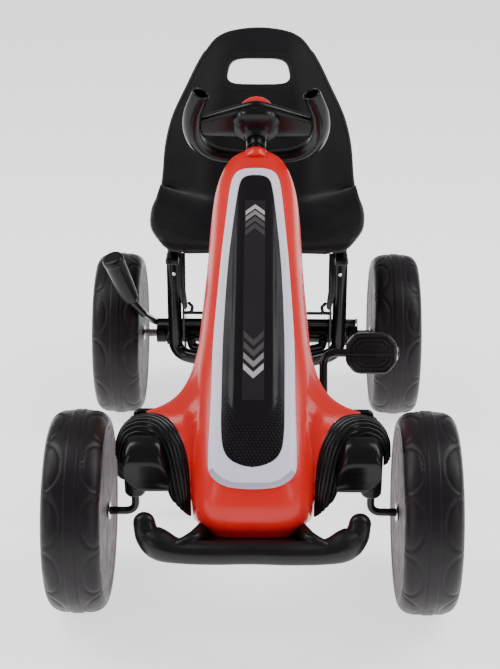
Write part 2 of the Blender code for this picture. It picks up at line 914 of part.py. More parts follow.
def make_wheel(end, side, word, y, parent):
    """Foam tyre on a turned plastic hub, with its cap on the outside."""
    centre = (side * TRACK / 2, y, WHEEL_R)
    out = (side, 0, 0)
    turned(
        f"{end}_tyre_{word}", tyre_profile(), FOAM_BLACK, centre, out, closed=True, sides=40,
        parent=parent,
    )
    turned(
        f"{end}_hub_{word}", HUB_PROFILE, GREY_PLASTIC, centre, out, closed=True, sides=24,
        parent=parent,
    )
    turned(
        f"{end}_hub_cap_{word}", CAP_PROFILE, SATIN_BLACK, centre, out, sides=16, parent=parent
    )


def make_knuckle(side, word, parent):
    """Kingpin and stub axle bent from one rod, with the steering arm on its top."""
    x = side * KINGPIN_X
    path = rounded_path(
        (
            (x, FRONT_Y, ARM_Z + ARM_T + 0.003),
            (x, FRONT_Y, WHEEL_R),
            (side * (TRACK / 2 + 0.030), FRONT_Y, WHEEL_R),
        ),
        0.014,
        5,
    )
    tube(f"stub_axle_{word}", path, PIN_R, BLACK_STEEL, parent, resolution=3)
    outline = []
    for step in range(9):
        angle = math.pi + math.pi * step / 8
        outline.append((0.009 * math.cos(angle), 0.009 * math.sin(angle)))
    for step in range(9):
        angle = math.pi * step / 8
        outline.append((0.008 * math.cos(angle), ARM_LENGTH + 0.008 * math.sin(angle)))
    holes = [circle(PIN_R + GAP, (0, 0), 16), circle(TIE_R + 0.0006, (0, ARM_LENGTH), 16)]
    plate(
        f"steering_arm_{word}", [outline, *holes], ARM_T, BLACK_STEEL,
        (x, FRONT_Y, ARM_Z + ARM_T / 2), (0, 0, 1), parent,
    )


def make_tie_rod(parent):
    """Rod between the steering arms, its ends turned down into them, with a holed plate."""
    y = FRONT_Y + ARM_LENGTH
    path = rounded_path(
        (
            (-KINGPIN_X, y, ARM_Z - 0.004),
            (-KINGPIN_X, y, TIE_Z),
            (KINGPIN_X, y, TIE_Z),
            (KINGPIN_X, y, ARM_Z - 0.004),
        ),
        0.006,
        3,
    )
    rod = meshed(tube("tie_rod", path, TIE_R, BLACK_STEEL, parent))
    join_shape(rod, box_mesh("plate", (0.044, 0.030, 0.004)), at((0, y, TIE_Z)), "plate")
    cut_shape(rod, cylinder_mesh("hole", 0.0095, 0.03), at((0, y, TIE_Z)), "hole")


# --- steering -----------------------------------------------------------------------------------


def wheel_point(x, up, out):
    """A point given across, up and out along the steering wheel's own directions."""
    return SHAFT_TOP + Vector((x, 0, 0)) + WHEEL_UP * up + SHAFT_DIR * out


def make_steering_shaft(parent):
    """Shaft bent from one rod: its foot is a short crank that moves the tie rod."""
    foot_dir = Vector((0, SHAFT_DIR.z, -SHAFT_DIR.y))
    foot_end = SHAFT_FOOT + foot_dir * 0.046
    path = rounded_path((foot_end, SHAFT_FOOT, wheel_point(0, 0, -0.012)), 0.012)
    radii = [0.62] * 2 + [0.9] * 2 + [1] * (len(path) - 4)
    tube("steering_shaft", path, SHAFT_R, BLACK_STEEL, parent, resolution=3, radii=radii)


def make_column_bush():
    """Bush in the hood's collar round the steering shaft."""
    bore = SHAFT_R + 0.0010
    profile = (
        (0.0120, 0.0080),
        (0.0120, -0.0100),
        (bore, -0.0100),
        (bore, 0.0080),
    )
    turned(
        "column_bush", profile, SATIN_BLACK, wheel_point(0, 0, -0.040), SHAFT_DIR, closed=True,
        sides=20,
    )


def make_steering_wheel(parent):
    """Butterfly wheel: deep hub, lower rim, wing-shaped web and two upright grips."""
    to_axis = at(wheel_point(0, 0, 0), SHAFT_DIR)
    hub_profile = (
        (0.000, 0.0320),
        (0.024, 0.0320),
        (0.028, 0.0280),
        (0.033, 0.0020),
        (0.030, -0.0060),
        (0.0150, -0.0100),
        (0.0140, -0.0290),
        (SHAFT_R + GAP, -0.0290),
        (SHAFT_R + GAP, -0.0115),
        (0.000, -0.0115),
    )
    wheel = meshed(
        turned(
            "steering_wheel", hub_profile, GLOSS_BLACK, to_axis.translation, SHAFT_DIR, sides=24,
            parent=parent,
        )
    )
    rim = [
        wheel_point(x, up, 0.0)
        for x, up in (
            (-0.0895, -0.004), (-0.086, -0.026), (-0.072, -0.044), (-0.045, -0.056), (0, -0.061),
            (0.045, -0.056), (0.072, -0.044), (0.086, -0.026), (0.0895, -0.004),
        )
    ]
    join_shape(wheel, tube_mesh("rim", rim, 0.0095, 3), Matrix(), "rim")
    # Wing-shaped web from grip to grip, deepest behind the hub
    top = (
        (-0.084, 0.018), (-0.060, 0.028), (-0.030, 0.034),
        (0.030, 0.034), (0.060, 0.028), (0.084, 0.018),
    )
    bottom = (
        (0.084, 0.002), (0.062, -0.010), (0.030, -0.017),
        (-0.030, -0.017), (-0.062, -0.010), (-0.084, 0.002),
    )
    web = meshed(plate("web", [list(top + bottom)], 0.014, GLOSS_BLACK, (0, 0, 0), (0, 0, 1)))
    web_mesh = web.data
    bpy.data.objects.remove(web)
    across = Vector((1, 0, 0))
    web_place = Matrix((across, WHEEL_UP, SHAFT_DIR)).transposed().to_4x4()
    web_place.translation = wheel_point(0, 0, 0.007)
    join_shape(wheel, web_mesh, web_place, "web")
    for side, word in SIDES:
        grip = (
            wheel_point(side * 0.0895, -0.006, 0.000),
            wheel_point(side * 0.0925, 0.014, 0.002),
            wheel_point(side * 0.0905, 0.034, 0.006),
            wheel_point(side * 0.0830, 0.054, 0.011),
            wheel_point(side * 0.0765, 0.069, 0.016),
        )
        join_shape(wheel, tube_mesh("grip", grip, 0.0120, 3), Matrix(), f"grip_{word}")
    return wheel


def make_wheel_cap(parent):
    base = 0.0320 + GAP
    profile = (
        (0.000, base + 0.0190),
        (0.010, base + 0.0178),
        (0.018, base + 0.0135),
        (0.0225, base + 0.0060),
        (0.0230, base),
        (0.000, base),
    )
    turned("steering_wheel_cap", profile, RED, wheel_point(0, 0, 0), SHAFT_DIR, parent=parent)


# --- drive --------------------------------------------------------------------------------------


def pedal_centre(side):
    """Where each pedal's spindle is: the +X one is up and back, the other opposite."""
    return Vector(
        (
            side * PEDAL_X,
            CRANK_Y + side * CRANK_R * math.cos(CRANK_ANGLE),
            CRANK_Z + side * CRANK_R * math.sin(CRANK_ANGLE),
        )
    )


def make_crankshaft(parent):
    """One bent rod: left spindle, arm, axle, arm and right spindle."""
    ends = {side: pedal_centre(side) for side, _ in SIDES}
    path = rounded_path(
        (
            (-PEDAL_X - 0.040, ends[LEFT].y, ends[LEFT].z),
            (-CRANK_ARM_X, ends[LEFT].y, ends[LEFT].z),
            (-CRANK_ARM_X, CRANK_Y, CRANK_Z),
            (CRANK_ARM_X, CRANK_Y, CRANK_Z),
            (CRANK_ARM_X, ends[RIGHT].y, ends[RIGHT].z),
            (PEDAL_X + 0.040, ends[RIGHT].y, ends[RIGHT].z),
        ),
        0.014,
    )
    tube("crankshaft", path, CRANK_ROD_R, BLACK_STEEL, parent, resolution=3)


def toothed_disc(name, radius, teeth, bore, centre, parent):
    """Sprocket: a disc with a short tooth at each chain pitch."""
    outline = []
    for tooth in range(teeth):
        start = 2 * math.pi * tooth / teeth
        for part, reach in ((0.20, -0.0035), (0.40, -0.0008), (0.60, -0.0008), (0.80, -0.0035)):
            angle = start + 2 * math.pi * part / teeth
            size = radius + reach
            outline.append((size * math.cos(angle), size * math.sin(angle)))
    plate(
        name, [outline, circle(bore, sides=16)], 0.003, BARE_STEEL, centre, (1, 0, 0), parent
    )


def chain_outline(ring, sprocket):
    """The line round two circles with straight runs between them, in the YZ plane."""
    run = Vector((REAR_Y - CRANK_Y, WHEEL_R - CRANK_Z))
    lean = math.atan2(run.y, run.x)
    spread = math.acos((ring - sprocket) / run.length)
    points = []
    steps = 14
    for step in range(steps + 1):
        angle = lean + spread + (2 * math.pi - 2 * spread) * step / steps
        points.append((ring * math.cos(angle), ring * math.sin(angle)))
    for step in range(steps + 1):
        angle = lean - spread + 2 * spread * step / steps
        points.append((run.x + sprocket * math.cos(angle), run.y + sprocket * math.sin(angle)))
    return points


def side_plate(name, loops, thickness, finish, x):
    """A plate whose outline lies in the YZ plane, measured from the crank's axis."""
    piece = plate(name, loops, thickness, finish, (0, 0, 0), (0, 0, 1))
    piece.matrix_world = Matrix(
        ((0, 0, 1, x), (1, 0, 0, CRANK_Y), (0, 1, 0, CRANK_Z), (0, 0, 0, 1))
    )
    return piece


def make_chain():
    inner = 0.0004
    loops = [
        chain_outline(RING_R + CHAIN_T + inner, SPROCKET_R + CHAIN_T + inner),
        chain_outline(RING_R + inner, SPROCKET_R + inner),
    ]
    side_plate("chain", loops, CHAIN_W, BARE_STEEL, CHAIN_X)


def make_chain_guard():
    """Tray over the chain's outer side: a rim with a cover plate, holed for crank and axle."""
    outer_ring, outer_sprocket = RING_R + 0.0105, SPROCKET_R + 0.0105
    wall = 0.0020
    start, end = CHAIN_X - 0.0075, CHAIN_X + 0.0095
    guard = side_plate(
        "chain_guard", [chain_outline(outer_ring, outer_sprocket)], end - start, SATIN_BLACK,
        (start + end) / 2,
    )
    guard = meshed(guard)
    hollow = meshed(
        side_plate(
            "hollow", [chain_outline(outer_ring - wall, outer_sprocket - wall)], 0.030,
            SATIN_BLACK, end - wall - 0.015,
        )
    )
    mesh, matrix = hollow.data, hollow.matrix_world.copy()
    bpy.data.objects.remove(hollow)
    cut_shape(guard, mesh, matrix, "hollow")
    hole = cylinder_mesh("hole", 0.0095, 0.04, 16)
    cut_shape(guard, hole, at((end, CRANK_Y, CRANK_Z), (1, 0, 0)), "crank_hole")
    hole = cylinder_mesh("hole", HOUSING_R + 0.001, 0.04, 20)
    cut_shape(guard, hole, at((end, REAR_Y, WHEEL_R), (1, 0, 0)), "axle_hole")
    groove = box_mesh("groove", (0.05, 0.024, 0.040))
    cut_shape(guard, groove, at((CHAIN_X, BRAKE_Y + 0.003, BRAKE_Z + 0.0145)), "brake_rod_groove")


def make_pedal(side, word, parent):
    """Moulded pedal block that turns on its spindle."""
    pedal = link(
        f"pedal_{word}",
        box_mesh(f"pedal_{word}", (0.074, 0.022, 0.060), 0.006, 2),
        SATIN_BLACK,
        parent,
        at(pedal_centre(side)) @ Matrix.Rotation(math.radians(-14), 4, "X"),
    )
    bore = cylinder_mesh("bore", CRANK_ROD_R + 0.0008, 0.2, 16)
    cut_shape(pedal, bore, at(pedal_centre(side), (1, 0, 0)), "bore")


def make_rear_axle(parent):
    reach = TRACK / 2 + 0.030
    axle = link(
        "rear_axle",
        cylinder_mesh("rear_axle", AXLE_R, 2 * reach, 20),
        BARE_STEEL,
        parent,
        at((0, REAR_Y, WHEEL_R), (1, 0, 0)),
    )
    return axle


def make_brake(parent):
    """Hand lever: a cross rod in the axle brackets that bends up to a tapered grip."""
    path = rounded_path(
        (
            (0.158, BRAKE_Y, BRAKE_Z),
            (CHAIN_X + 0.027, BRAKE_Y, BRAKE_Z),
            (CHAIN_X + 0.016, BRAKE_Y, BRAKE_Z + 0.0105),
            (CHAIN_X - 0.016, BRAKE_Y, BRAKE_Z + 0.0105),
            (CHAIN_X - 0.027, BRAKE_Y, BRAKE_Z),
            (-0.163, BRAKE_Y, BRAKE_Z),
            (-0.1760, front(0.490), 0.202),
            (-0.1915, front(0.4705), 0.2305),
        ),
        0.008,
    )
    tube("brake_lever", path, BRAKE_R, BLACK_STEEL, parent, resolution=3)
    start = Vector((-0.1925, front(0.4697), 0.2335))
    along = Vector((-0.29, -0.29, 0.92)).normalized()
    profile = (
        (0.000, 0.086),
        (0.0125, 0.086),
        (0.0165, 0.082),
        (0.0165, 0.074),
        (0.0150, 0.040),
        (0.0120, 0.000),
        (0.000, 0.000),
    )
    turned("brake_grip", profile, SATIN_BLACK, start, along, sides=20, parent=parent)


def main():
    make_front_axle_beam()
    make_kingpin_bushes()
    make_main_spine()
    make_frame_hoops()
    make_axle_brackets()
    make_rear_housings()
    make_rear_bushes()
    make_crank_hanger()
    make_cross_rod()
    make_steering_bracket()
    make_hood()
    make_hood_trim()
    make_hood_panel()
    make_hood_grille()
    make_fenders()
    make_bumper()
    make_seat_rails()
    make_column_bush()
    make_chain()
    make_chain_guard()

    seat = axis_empty("seat_slide_axis", (0, front(0.58), COLUMN_TOP))
    make_seat_shell(seat)
    make_seat_sliders(seat)

    steering = axis_empty("steering_axis", SHAFT_TOP)
    make_steering_shaft(steering)
    make_steering_wheel(steering)
    make_wheel_cap(steering)

    for side, word in SIDES:
        kingpin = axis_empty(f"kingpin_{word}_axis", (side * KINGPIN_X, FRONT_Y, WHEEL_R))
        make_knuckle(side, word, kingpin)
        spin = axis_empty(
            f"front_wheel_{word}_axis", (side * TRACK / 2, FRONT_Y, WHEEL_R), kingpin
        )
        make_wheel("front", side, word, FRONT_Y, spin)
        if side == LEFT:
            tie = axis_empty("tie_rod_axis", (-KINGPIN_X, FRONT_Y + ARM_LENGTH, TIE_Z), kingpin)
            make_tie_rod(tie)

    crank = axis_empty("crank_axis", (0, CRANK_Y, CRANK_Z))
    make_crankshaft(crank)
    toothed_disc(
        "chainring", RING_R, RING_TEETH, CRANK_ROD_R + GAP, (CHAIN_X, CRANK_Y, CRANK_Z), crank
    )
    for side, word in SIDES:
        spindle = axis_empty(f"pedal_{word}_axis", pedal_centre(side), crank)
        make_pedal(side, word, spindle)

    rear = axis_empty("rear_axle_axis", (0, REAR_Y, WHEEL_R))
    make_rear_axle(rear)
    toothed_disc(
        "rear_sprocket", SPROCKET_R, SPROCKET_TEETH, AXLE_R + GAP, (CHAIN_X, REAR_Y, WHEEL_R), rear
    )
    for side, word in SIDES:
        make_wheel("rear", side, word, REAR_Y, rear)

    brake = axis_empty("brake_axis", (0, BRAKE_Y, BRAKE_Z))
    make_brake(brake)


main()
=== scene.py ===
"""The looks of a child's pedal go kart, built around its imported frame.

Metres, +Z up. The kart drives towards -Y, and `front(d)` is the world Y of a place that far
behind the front axle.
"""

import math

import bmesh
import bpy
from mathutils import Matrix, Vector


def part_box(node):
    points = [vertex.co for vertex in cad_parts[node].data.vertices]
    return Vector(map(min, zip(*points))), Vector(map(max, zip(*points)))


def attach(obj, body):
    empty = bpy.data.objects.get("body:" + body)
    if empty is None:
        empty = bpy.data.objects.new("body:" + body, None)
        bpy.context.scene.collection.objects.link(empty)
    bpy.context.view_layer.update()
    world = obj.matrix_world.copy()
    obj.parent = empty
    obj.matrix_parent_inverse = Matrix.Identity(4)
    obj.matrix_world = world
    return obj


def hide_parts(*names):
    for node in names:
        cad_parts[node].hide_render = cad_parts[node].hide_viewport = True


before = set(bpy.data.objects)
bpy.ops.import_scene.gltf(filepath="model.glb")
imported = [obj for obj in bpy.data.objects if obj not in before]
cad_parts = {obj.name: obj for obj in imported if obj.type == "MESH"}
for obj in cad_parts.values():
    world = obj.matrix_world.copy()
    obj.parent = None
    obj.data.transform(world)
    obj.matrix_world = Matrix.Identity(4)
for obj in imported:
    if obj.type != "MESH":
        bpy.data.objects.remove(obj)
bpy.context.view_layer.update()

LEFT, RIGHT = -1, 1
SIDES = ((LEFT, "left"), (RIGHT, "right"))


def middle(node):
    low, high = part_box(node)
    return (Vector(low) + Vector(high)) / 2


# Places that the frame gives
FRONT_Y = middle("front_tyre_left").y
REAR_Y = middle("rear_tyre_left").y
WHEEL_X = middle("front_hub_right").x
WHEEL_R = middle("front_tyre_left").z

# Places that repeat the solids'
KINGPIN_X = 0.150
BEAM_Z = 0.195
SLEEVE_TOP = 0.232
ARM_Z = 0.2365
ARM_LENGTH = 0.045
TIE_Z = 0.2495
SHAFT_R = 0.0065
SHAFT_FOOT = Vector((0, FRONT_Y + 0.0221, 0.2823))
SHAFT_TOP = Vector((0, FRONT_Y + 0.372, 0.526))
SHAFT_DIR = (SHAFT_TOP - SHAFT_FOOT).normalized()
WHEEL_UP = Vector((0, -SHAFT_DIR.z, SHAFT_DIR.y))
CRANK_Y = FRONT_Y + 0.270
CRANK_Z = 0.150
CRANK_R = 0.078
CRANK_ANGLE = math.radians(56)
CRANK_ROD_R = 0.006
PEDAL_X = 0.167
CHAIN_X = 0.034
CHAIN_PITCH = 0.0127
RING_TEETH, SPROCKET_TEETH = 20, 11
RING_R = RING_TEETH * CHAIN_PITCH / (2 * math.pi)
SPROCKET_R = SPROCKET_TEETH * CHAIN_PITCH / (2 * math.pi)
AXLE_R = 0.006
HOUSING_R = 0.015
HOUSING_END = 0.148
COLUMN_X = 0.131
COLUMN_Y = FRONT_Y + 0.545
COLUMN_TOP = 0.2755
BRAKE_Y = REAR_Y - 0.020
BRAKE_Z = 0.158
CROSS_ROD_Y = REAR_Y - 0.031
CROSS_ROD_Z = 0.178


def front(distance):
    return FRONT_Y + distance


# --- materials ----------------------------------------------------------------------------------


def set_inputs(node, values):
    for name, value in values.items():
        node.inputs[name].default_value = value


def make_material(
    name, colour, roughness, grain=0.1, grain_scale=900, mottle=0.1, patch=14, metallic=0.0,
    spread=0.06, coat=0.0, edge=0.0, specular=0.5,
):
    """A moulded or painted surface: colour that drifts, a fine grain, and uneven gloss.

    `grain` is the depth of the grain, `mottle` how far the colour drifts over `patch` patches a
    metre, `spread` how far the roughness does, and `edge` how much convex corners are painted lighter as a
    highlight."""
    made = bpy.data.materials.new(name)
    made.use_nodes = True
    nodes, links = made.node_tree.nodes, made.node_tree.links
    shader = nodes["Principled BSDF"]
    set_inputs(shader, {"Metallic": metallic, "Specular IOR Level": specular})
    if coat:
        set_inputs(shader, {"Coat Weight": coat, "Coat Roughness": 0.08})
    made.diffuse_color = (*colour, 1)
    coords = nodes.new("ShaderNodeTexCoord")

    def noise(scale, detail):
        node = nodes.new("ShaderNodeTexNoise")
        set_inputs(node, {"Scale": scale, "Detail": detail})
        links.new(coords.outputs["Object"], node.inputs["Vector"])
        return node.outputs["Fac"]

    drift = nodes.new("ShaderNodeValToRGB")
    dark, light = drift.color_ramp.elements
    dark.position, light.position = 0.32, 0.68
    dark.color = (*[c * (1 - mottle) for c in colour], 1)
    light.color = (*[min(c * (1 + mottle), 1) for c in colour], 1)
    links.new(noise(patch, 5), drift.inputs["Fac"])
    shade = drift.outputs["Color"]
    # With `edge`, convex corners (high pointiness) are painted lighter: a painted edge highlight.
    if edge:
        geometry = nodes.new("ShaderNodeNewGeometry")
        corner = nodes.new("ShaderNodeMapRange")
        set_inputs(corner, {"From Min": 0.52, "From Max": 0.62, "To Max": edge})
        links.new(geometry.outputs["Pointiness"], corner.inputs["Value"])
        painted_highlight_mix = nodes.new("ShaderNodeMix")
        painted_highlight_mix.data_type = "RGBA"
        links.new(corner.outputs["Result"], painted_highlight_mix.inputs["Factor"])
        links.new(shade, painted_highlight_mix.inputs["A"])
        painted_highlight_mix.inputs["B"].default_value = (*[min(c * 1.6 + 0.04, 1) for c in colour], 1)
        shade = painted_highlight_mix.outputs["Result"]
    links.new(shade, shader.inputs["Base Color"])

    gloss = nodes.new("ShaderNodeMapRange")
    low, high = max(roughness - spread, 0.02), roughness + spread
    set_inputs(gloss, {"From Min": 0.3, "From Max": 0.7, "To Min": low, "To Max": high})
    links.new(noise(patch * 3, 6), gloss.inputs["Value"])
    links.new(gloss.outputs["Result"], shader.inputs["Roughness"])

    bump = nodes.new("ShaderNodeBump")
    set_inputs(bump, {"Strength": grain, "Distance": 0.0004})
    links.new(noise(grain_scale, 3), bump.inputs["Height"])
    links.new(bump.outputs["Normal"], shader.inputs["Normal"])
    return made


RED = make_material("red_moulded", (0.70, 0.013, 0.010), 0.27, 0.05, 700, 0.05, 5, coat=0.06, specular=0.3)
WHITE = make_material("white_moulded", (0.80, 0.77, 0.93), 0.34, 0.05, 800, 0.03, 6, specular=0.4)
# A darker copy of the white trim's colour: painted shade for the outer facet low on the nose.
WHITE_PAINTED_SHADE = make_material("white_painted_shade", (0.42, 0.39, 0.53), 0.38, 0.05, 800, 0.04, 6)
GLOSS = make_material("gloss_black", (0.0045, 0.0035, 0.0048), 0.23, 0.04, 600, 0.2, 9, specular=0.26)
PANEL = make_material("panel_black", (0.0105, 0.0085, 0.0110), 0.20, 0.03, 900, 0.12, 8, specular=0.10)
SATIN = make_material("satin_black", (0.0065, 0.0052, 0.0064), 0.33, 0.16, 1100, 0.15, 12, specular=0.24)
# The seat's rolled rims and corners get a painted highlight through `edge`.
SEAT = make_material(
    "seat_black", (0.0085, 0.0078, 0.0092), 0.38, 0.35, 1500, 0.16, 16, spread=0.07, edge=0.2,
    specular=0.20,
)
FOAM = make_material(
    "foam_tread", (0.0100, 0.0078, 0.0098), 0.38, 0.30, 1400, 0.22, 22, spread=0.08, specular=0.22
)
# The tread's black foam painted lighter for the tyre's side covers: a painted sheen of side light.
FOAM_PAINTED_SHEEN = make_material(
    "foam_painted_sheen", (0.085, 0.064, 0.083), 0.55, 0.30, 1300, 0.14, 20, spread=0.08, specular=0.3
)
# The powder coat's corners get a painted highlight through `edge`.
STEEL = make_material(
    "powder_coat", (0.0045, 0.0035, 0.0050), 0.20, 0.14, 420, 0.2, 20, edge=0.15, specular=0.30
)
ZINC = make_material("zinc", (0.55, 0.55, 0.57), 0.28, 0.10, 1200, 0.10, 60, metallic=1.0)
BRIGHT = make_material("bright_plating", (0.80, 0.79, 0.80), 0.16, 0.05, 900, 0.04, 40, metallic=1.0)
STRIP = make_material("sticker_dark", (0.020, 0.0165, 0.020), 0.30, 0.06, 1600, 0.06, 9, specular=0.12)
CHEVRON_TONES = [
    make_material(f"sticker_{step}", (tone, tone * 0.92, tone * 0.96), 0.40, 0.06, 1600, 0.04, 9)
    for step, tone in enumerate((0.46, 0.22, 0.052, 0.034))
]


# --- mesh building ------------------------------------------------------------------------------


def turns(count):
    """The cosine and sine of equal steps once round."""
    angles = (2 * math.pi * step / count for step in range(count))
    return [(math.cos(angle), math.sin(angle)) for angle in angles]


def signed_power(value, power):
    """A power of the value's size, with the value's own sign: below 1 it squares a circle."""
    return math.copysign(abs(value) ** power, value)


def mesh_object(name, verts, faces, sharp=38):
    """A piece from points and faces, with its faces turned out and shaded smooth."""
    mesh = bpy.data.meshes.new(name)
    mesh.from_pydata([tuple(vert) for vert in verts], [], faces)
    shape = bmesh.new()
    shape.from_mesh(mesh)
    bmesh.ops.remove_doubles(shape, verts=shape.verts, dist=0.000002)
    bmesh.ops.recalc_face_normals(shape, faces=shape.faces)
    shape.to_mesh(mesh)
    shape.free()
    mesh.shade_smooth()
    mesh.set_sharp_from_angle(angle=math.radians(sharp))
    piece = bpy.data.objects.new(name, mesh)
    bpy.context.scene.collection.objects.link(piece)
    return piece


def grid_faces(row_count, count, ring=False, closed=False, start=0):
    faces = []
    for row in range(row_count - (0 if closed else 1)):
        near, far = row * count, (row + 1) % row_count * count
        for index in range(count - (0 if ring else 1)):
            after = (index + 1) % count
            faces.append(tuple(start + at for at in (near + index, near + after, far + after, far + index)))
    return faces


def surface(name, rows, ring=False, closed=False, caps=False, sharp=38):
    """Quads through rows of points. `ring` joins each row's ends, `closed` the last row to the
    first, and `caps` fills the first and last rows."""
    count = len(rows[0])
    faces = grid_faces(len(rows), count, ring, closed)
    if caps:
        faces.append(tuple(reversed(range(count))))
        faces.append(tuple((len(rows) - 1) * count + index for index in range(count)))
    return mesh_object(name, [point for row in rows for point in row], faces, sharp)


def grid_normals(rows):
    last, end = len(rows) - 1, len(rows[0]) - 1
    normals = []
    for index, row in enumerate(rows):
        line = []
        for column in range(end + 1):
            along = rows[min(index + 1, last)][column] - rows[max(index - 1, 0)][column]
            normal = along.cross(row[min(column + 1, end)] - row[max(column - 1, 0)])
            line.append(normal.normalized() if normal.length > 1e-12 else Vector((0, 0, 0)))
        normals.append(line)
    return normals


def shell(name, rows, thickness, sharp=38):
    """A closed sheet: the rows, and the same rows set `thickness` against their normals."""
    inner = [
        [point - normal * thickness for point, normal in zip(row, line)]
        for row, line in zip(rows, grid_normals(rows))
    ]
    count, height = len(rows[0]), len(rows)
    under = count * height
    faces = grid_faces(height, count)
    faces += [tuple(reversed(face)) for face in grid_faces(height, count, start=under)]
    borders = (
        range(count), range(under - count, under), range(0, under, count), range(count - 1, under, count)
    )
    for edge in borders:
        faces += [(a, b, b + under, a + under) for a, b in zip(edge, edge[1:])]
    return mesh_object(name, [point for row in rows + inner for point in row], faces, sharp)


def spline(before, first, second, after, t):
    """The smooth curve between the middle two of four evenly spaced values."""
    return (
        first + 0.5 * t * (second - before) + t * t * (before - 2.5 * first + 2 * second - 0.5 * after)
        + t**3 * (1.5 * first - 0.5 * before - 1.5 * second + 0.5 * after)
    )


def smooth_line(points, steps=6):
    """A smooth curve through points of any size, as tuples."""
    line = []
    last = len(points) - 1
    for index in range(last):
        near = (points[max(index - 1, 0)], points[index], points[index + 1], points[min(index + 2, last)])
        for step in range(steps):
            line.append(tuple(spline(*values, step / steps) for values in zip(*near)))
    line.append(tuple(points[-1]))
    return line


def bend(start, corner, end, steps):
    """A corner's rounding, from its start to its end."""
    shares = (step / steps for step in range(steps + 1))
    return [start * (1 - t) ** 2 + corner * 2 * t * (1 - t) + end * t**2 for t in shares]


def rounded_path(points, radius, steps=8):
    """The polyline through these points with each inner corner rounded."""
    points = [Vector(point) for point in points]
    path = [points[0]]
    for before, corner, after in zip(points, points[1:], points[2:]):
        into = (before - corner).normalized()
        out = (after - corner).normalized()
        reach = radius / math.tan(into.angle(out) / 2)
        path += bend(corner + into * reach, corner, corner + out * reach, steps)
    path.append(points[-1])
    return path


def sweep_rows(points, sizes, sides=20, up=None, power=2.0):
    """Rings along a path, each with its own size across and up."""
    points = [Vector(point) for point in points]
    last = len(points) - 1
    side = None
    rows = []
    for index, (point, (wide, high)) in enumerate(zip(points, sizes)):
        along = (points[min(index + 1, last)] - points[max(index - 1, 0)]).normalized()
        if up is not None:
            side = along.cross(Vector(up)).normalized()
        elif side is None:
            side = along.orthogonal().normalized()
        else:
            side = (side - along * side.dot(along)).normalized()
        over = side.cross(along)
        rows.append(
            [
                point + side * wide * signed_power(c, 2 / power) + over * high * signed_power(s, 2 / power)
                for c, s in turns(sides)
            ]
        )
    return rows


def sweep(name, points, radius, sides=20, up=None, power=2.0, edge=0.0006, dome=False):
    """A rod along a path, its ends broken by a small chamfer or, with `dome`, rounded over."""
    points = [Vector(point) for point in points]
    if isinstance(radius, float):
        radius = [(radius, radius)] * len(points)
    steps = 5 if dome else 2
    ends = []
    for end, inner in ((0, 1), (-1, -2)):
        wide, high = radius[end]
        out = (points[end] - points[inner]).normalized()
        reach = min(wide, high) if dome else min(edge, wide * 0.5)
        line = []
        for step in range(1, steps + 1):
            angle = math.pi / 2 * step / steps * (0.97 if dome else 1)
            away = reach * math.sin(angle)
            cut = reach * (1 - math.cos(angle))
            line.append((points[end] + out * (away - (0 if dome else reach)), (wide - cut, high - cut)))
        ends.append(line)
    if not dome:
        for end, inner in ((0, 1), (-1, -2)):
            wide, high = radius[end]
            out = (points[end] - points[inner]).normalized()
            points[end] = points[end] - out * min(edge, wide * 0.5)
    path = [spot for spot, _ in reversed(ends[0])] + points + [spot for spot, _ in ends[1]]
    sizes = [size for _, size in reversed(ends[0])] + list(radius) + [size for _, size in ends[1]]
    return surface(name, sweep_rows(path, sizes, sides, up, power), ring=True, caps=True)


def soften(profile, radius, steps=3, closed=False):
    """A profile with its corners rounded, by at most a third of each neighbouring side."""
    points = [Vector((r, h)) for r, h in profile]
    count = len(points)
    out = []
    for index, corner in enumerate(points):
        if not closed and index in (0, count - 1):
            out.append(tuple(corner))
            continue
        before, after = points[index - 1], points[(index + 1) % count]
        cut = min(radius, (before - corner).length / 3, (after - corner).length / 3)
        start = corner + (before - corner).normalized() * cut
        end = corner + (after - corner).normalized() * cut
        out += [tuple(spot) for spot in bend(start, corner, end, steps)]
    return out


def at(point, direction=(0, 0, 1)):
    """A place whose own Z points along `direction`."""
    turn = Vector((0, 0, 1)).rotation_difference(Vector(direction))
    return Matrix.Translation(Vector(point)) @ turn.to_matrix().to_4x4()


def lathe(name, profile, point, direction, sides=64, closed=False, soft=0.001, sharp=50):
    """A turned piece from (radius, height) points, its corners softened."""
    if soft:
        profile = soften(profile, soft, 3, closed)
    place = at(point, direction)
    rows = [
        [place @ Vector((radius * c, radius * s, height)) for c, s in turns(sides)]
        for radius, height in profile
    ]
    return surface(name, rows, ring=True, closed=closed, sharp=sharp)


def prism(name, outline, thickness, place, bevel=0.0005, segments=2, sharp=30):
    """A plate with broken edges: an outline in its own plane, thickness along its own Z."""
    shape = bmesh.new()
    bottom = [shape.verts.new((x, y, -thickness / 2)) for x, y in outline]
    face = shape.faces.new(bottom)
    made = bmesh.ops.extrude_face_region(shape, geom=[face])
    top = [item for item in made["geom"] if isinstance(item, bmesh.types.BMVert)]
    bmesh.ops.translate(shape, vec=(0, 0, thickness), verts=top)
    bmesh.ops.recalc_face_normals(shape, faces=shape.faces)
    if bevel:
        hard = [
            edge for edge in shape.edges
            if len(edge.link_faces) == 2 and edge.calc_face_angle() > math.radians(30)
        ]
        bmesh.ops.bevel(
            shape, geom=hard, offset=bevel, segments=segments, profile=0.5, affect="EDGES",
            clamp_overlap=True,
        )
    verts = [place @ vert.co for vert in shape.verts]
    shape.verts.index_update()
    faces = [tuple(vert.index for vert in face.verts) for face in shape.faces]
    shape.free()
    return mesh_object(name, verts, faces, sharp)


def rounded_box(name, size, place, bevel=0.002, segments=3):
    half_x, half_y = size[0] / 2, size[1] / 2
    outline = ((-half_x, -half_y), (half_x, -half_y), (half_x, half_y), (-half_x, half_y))
    return prism(name, outline, size[2], place, bevel, segments)


def circle(radius, centre, sides):
    return [(centre[0] + radius * c, centre[1] + radius * s) for c, s in turns(sides)]


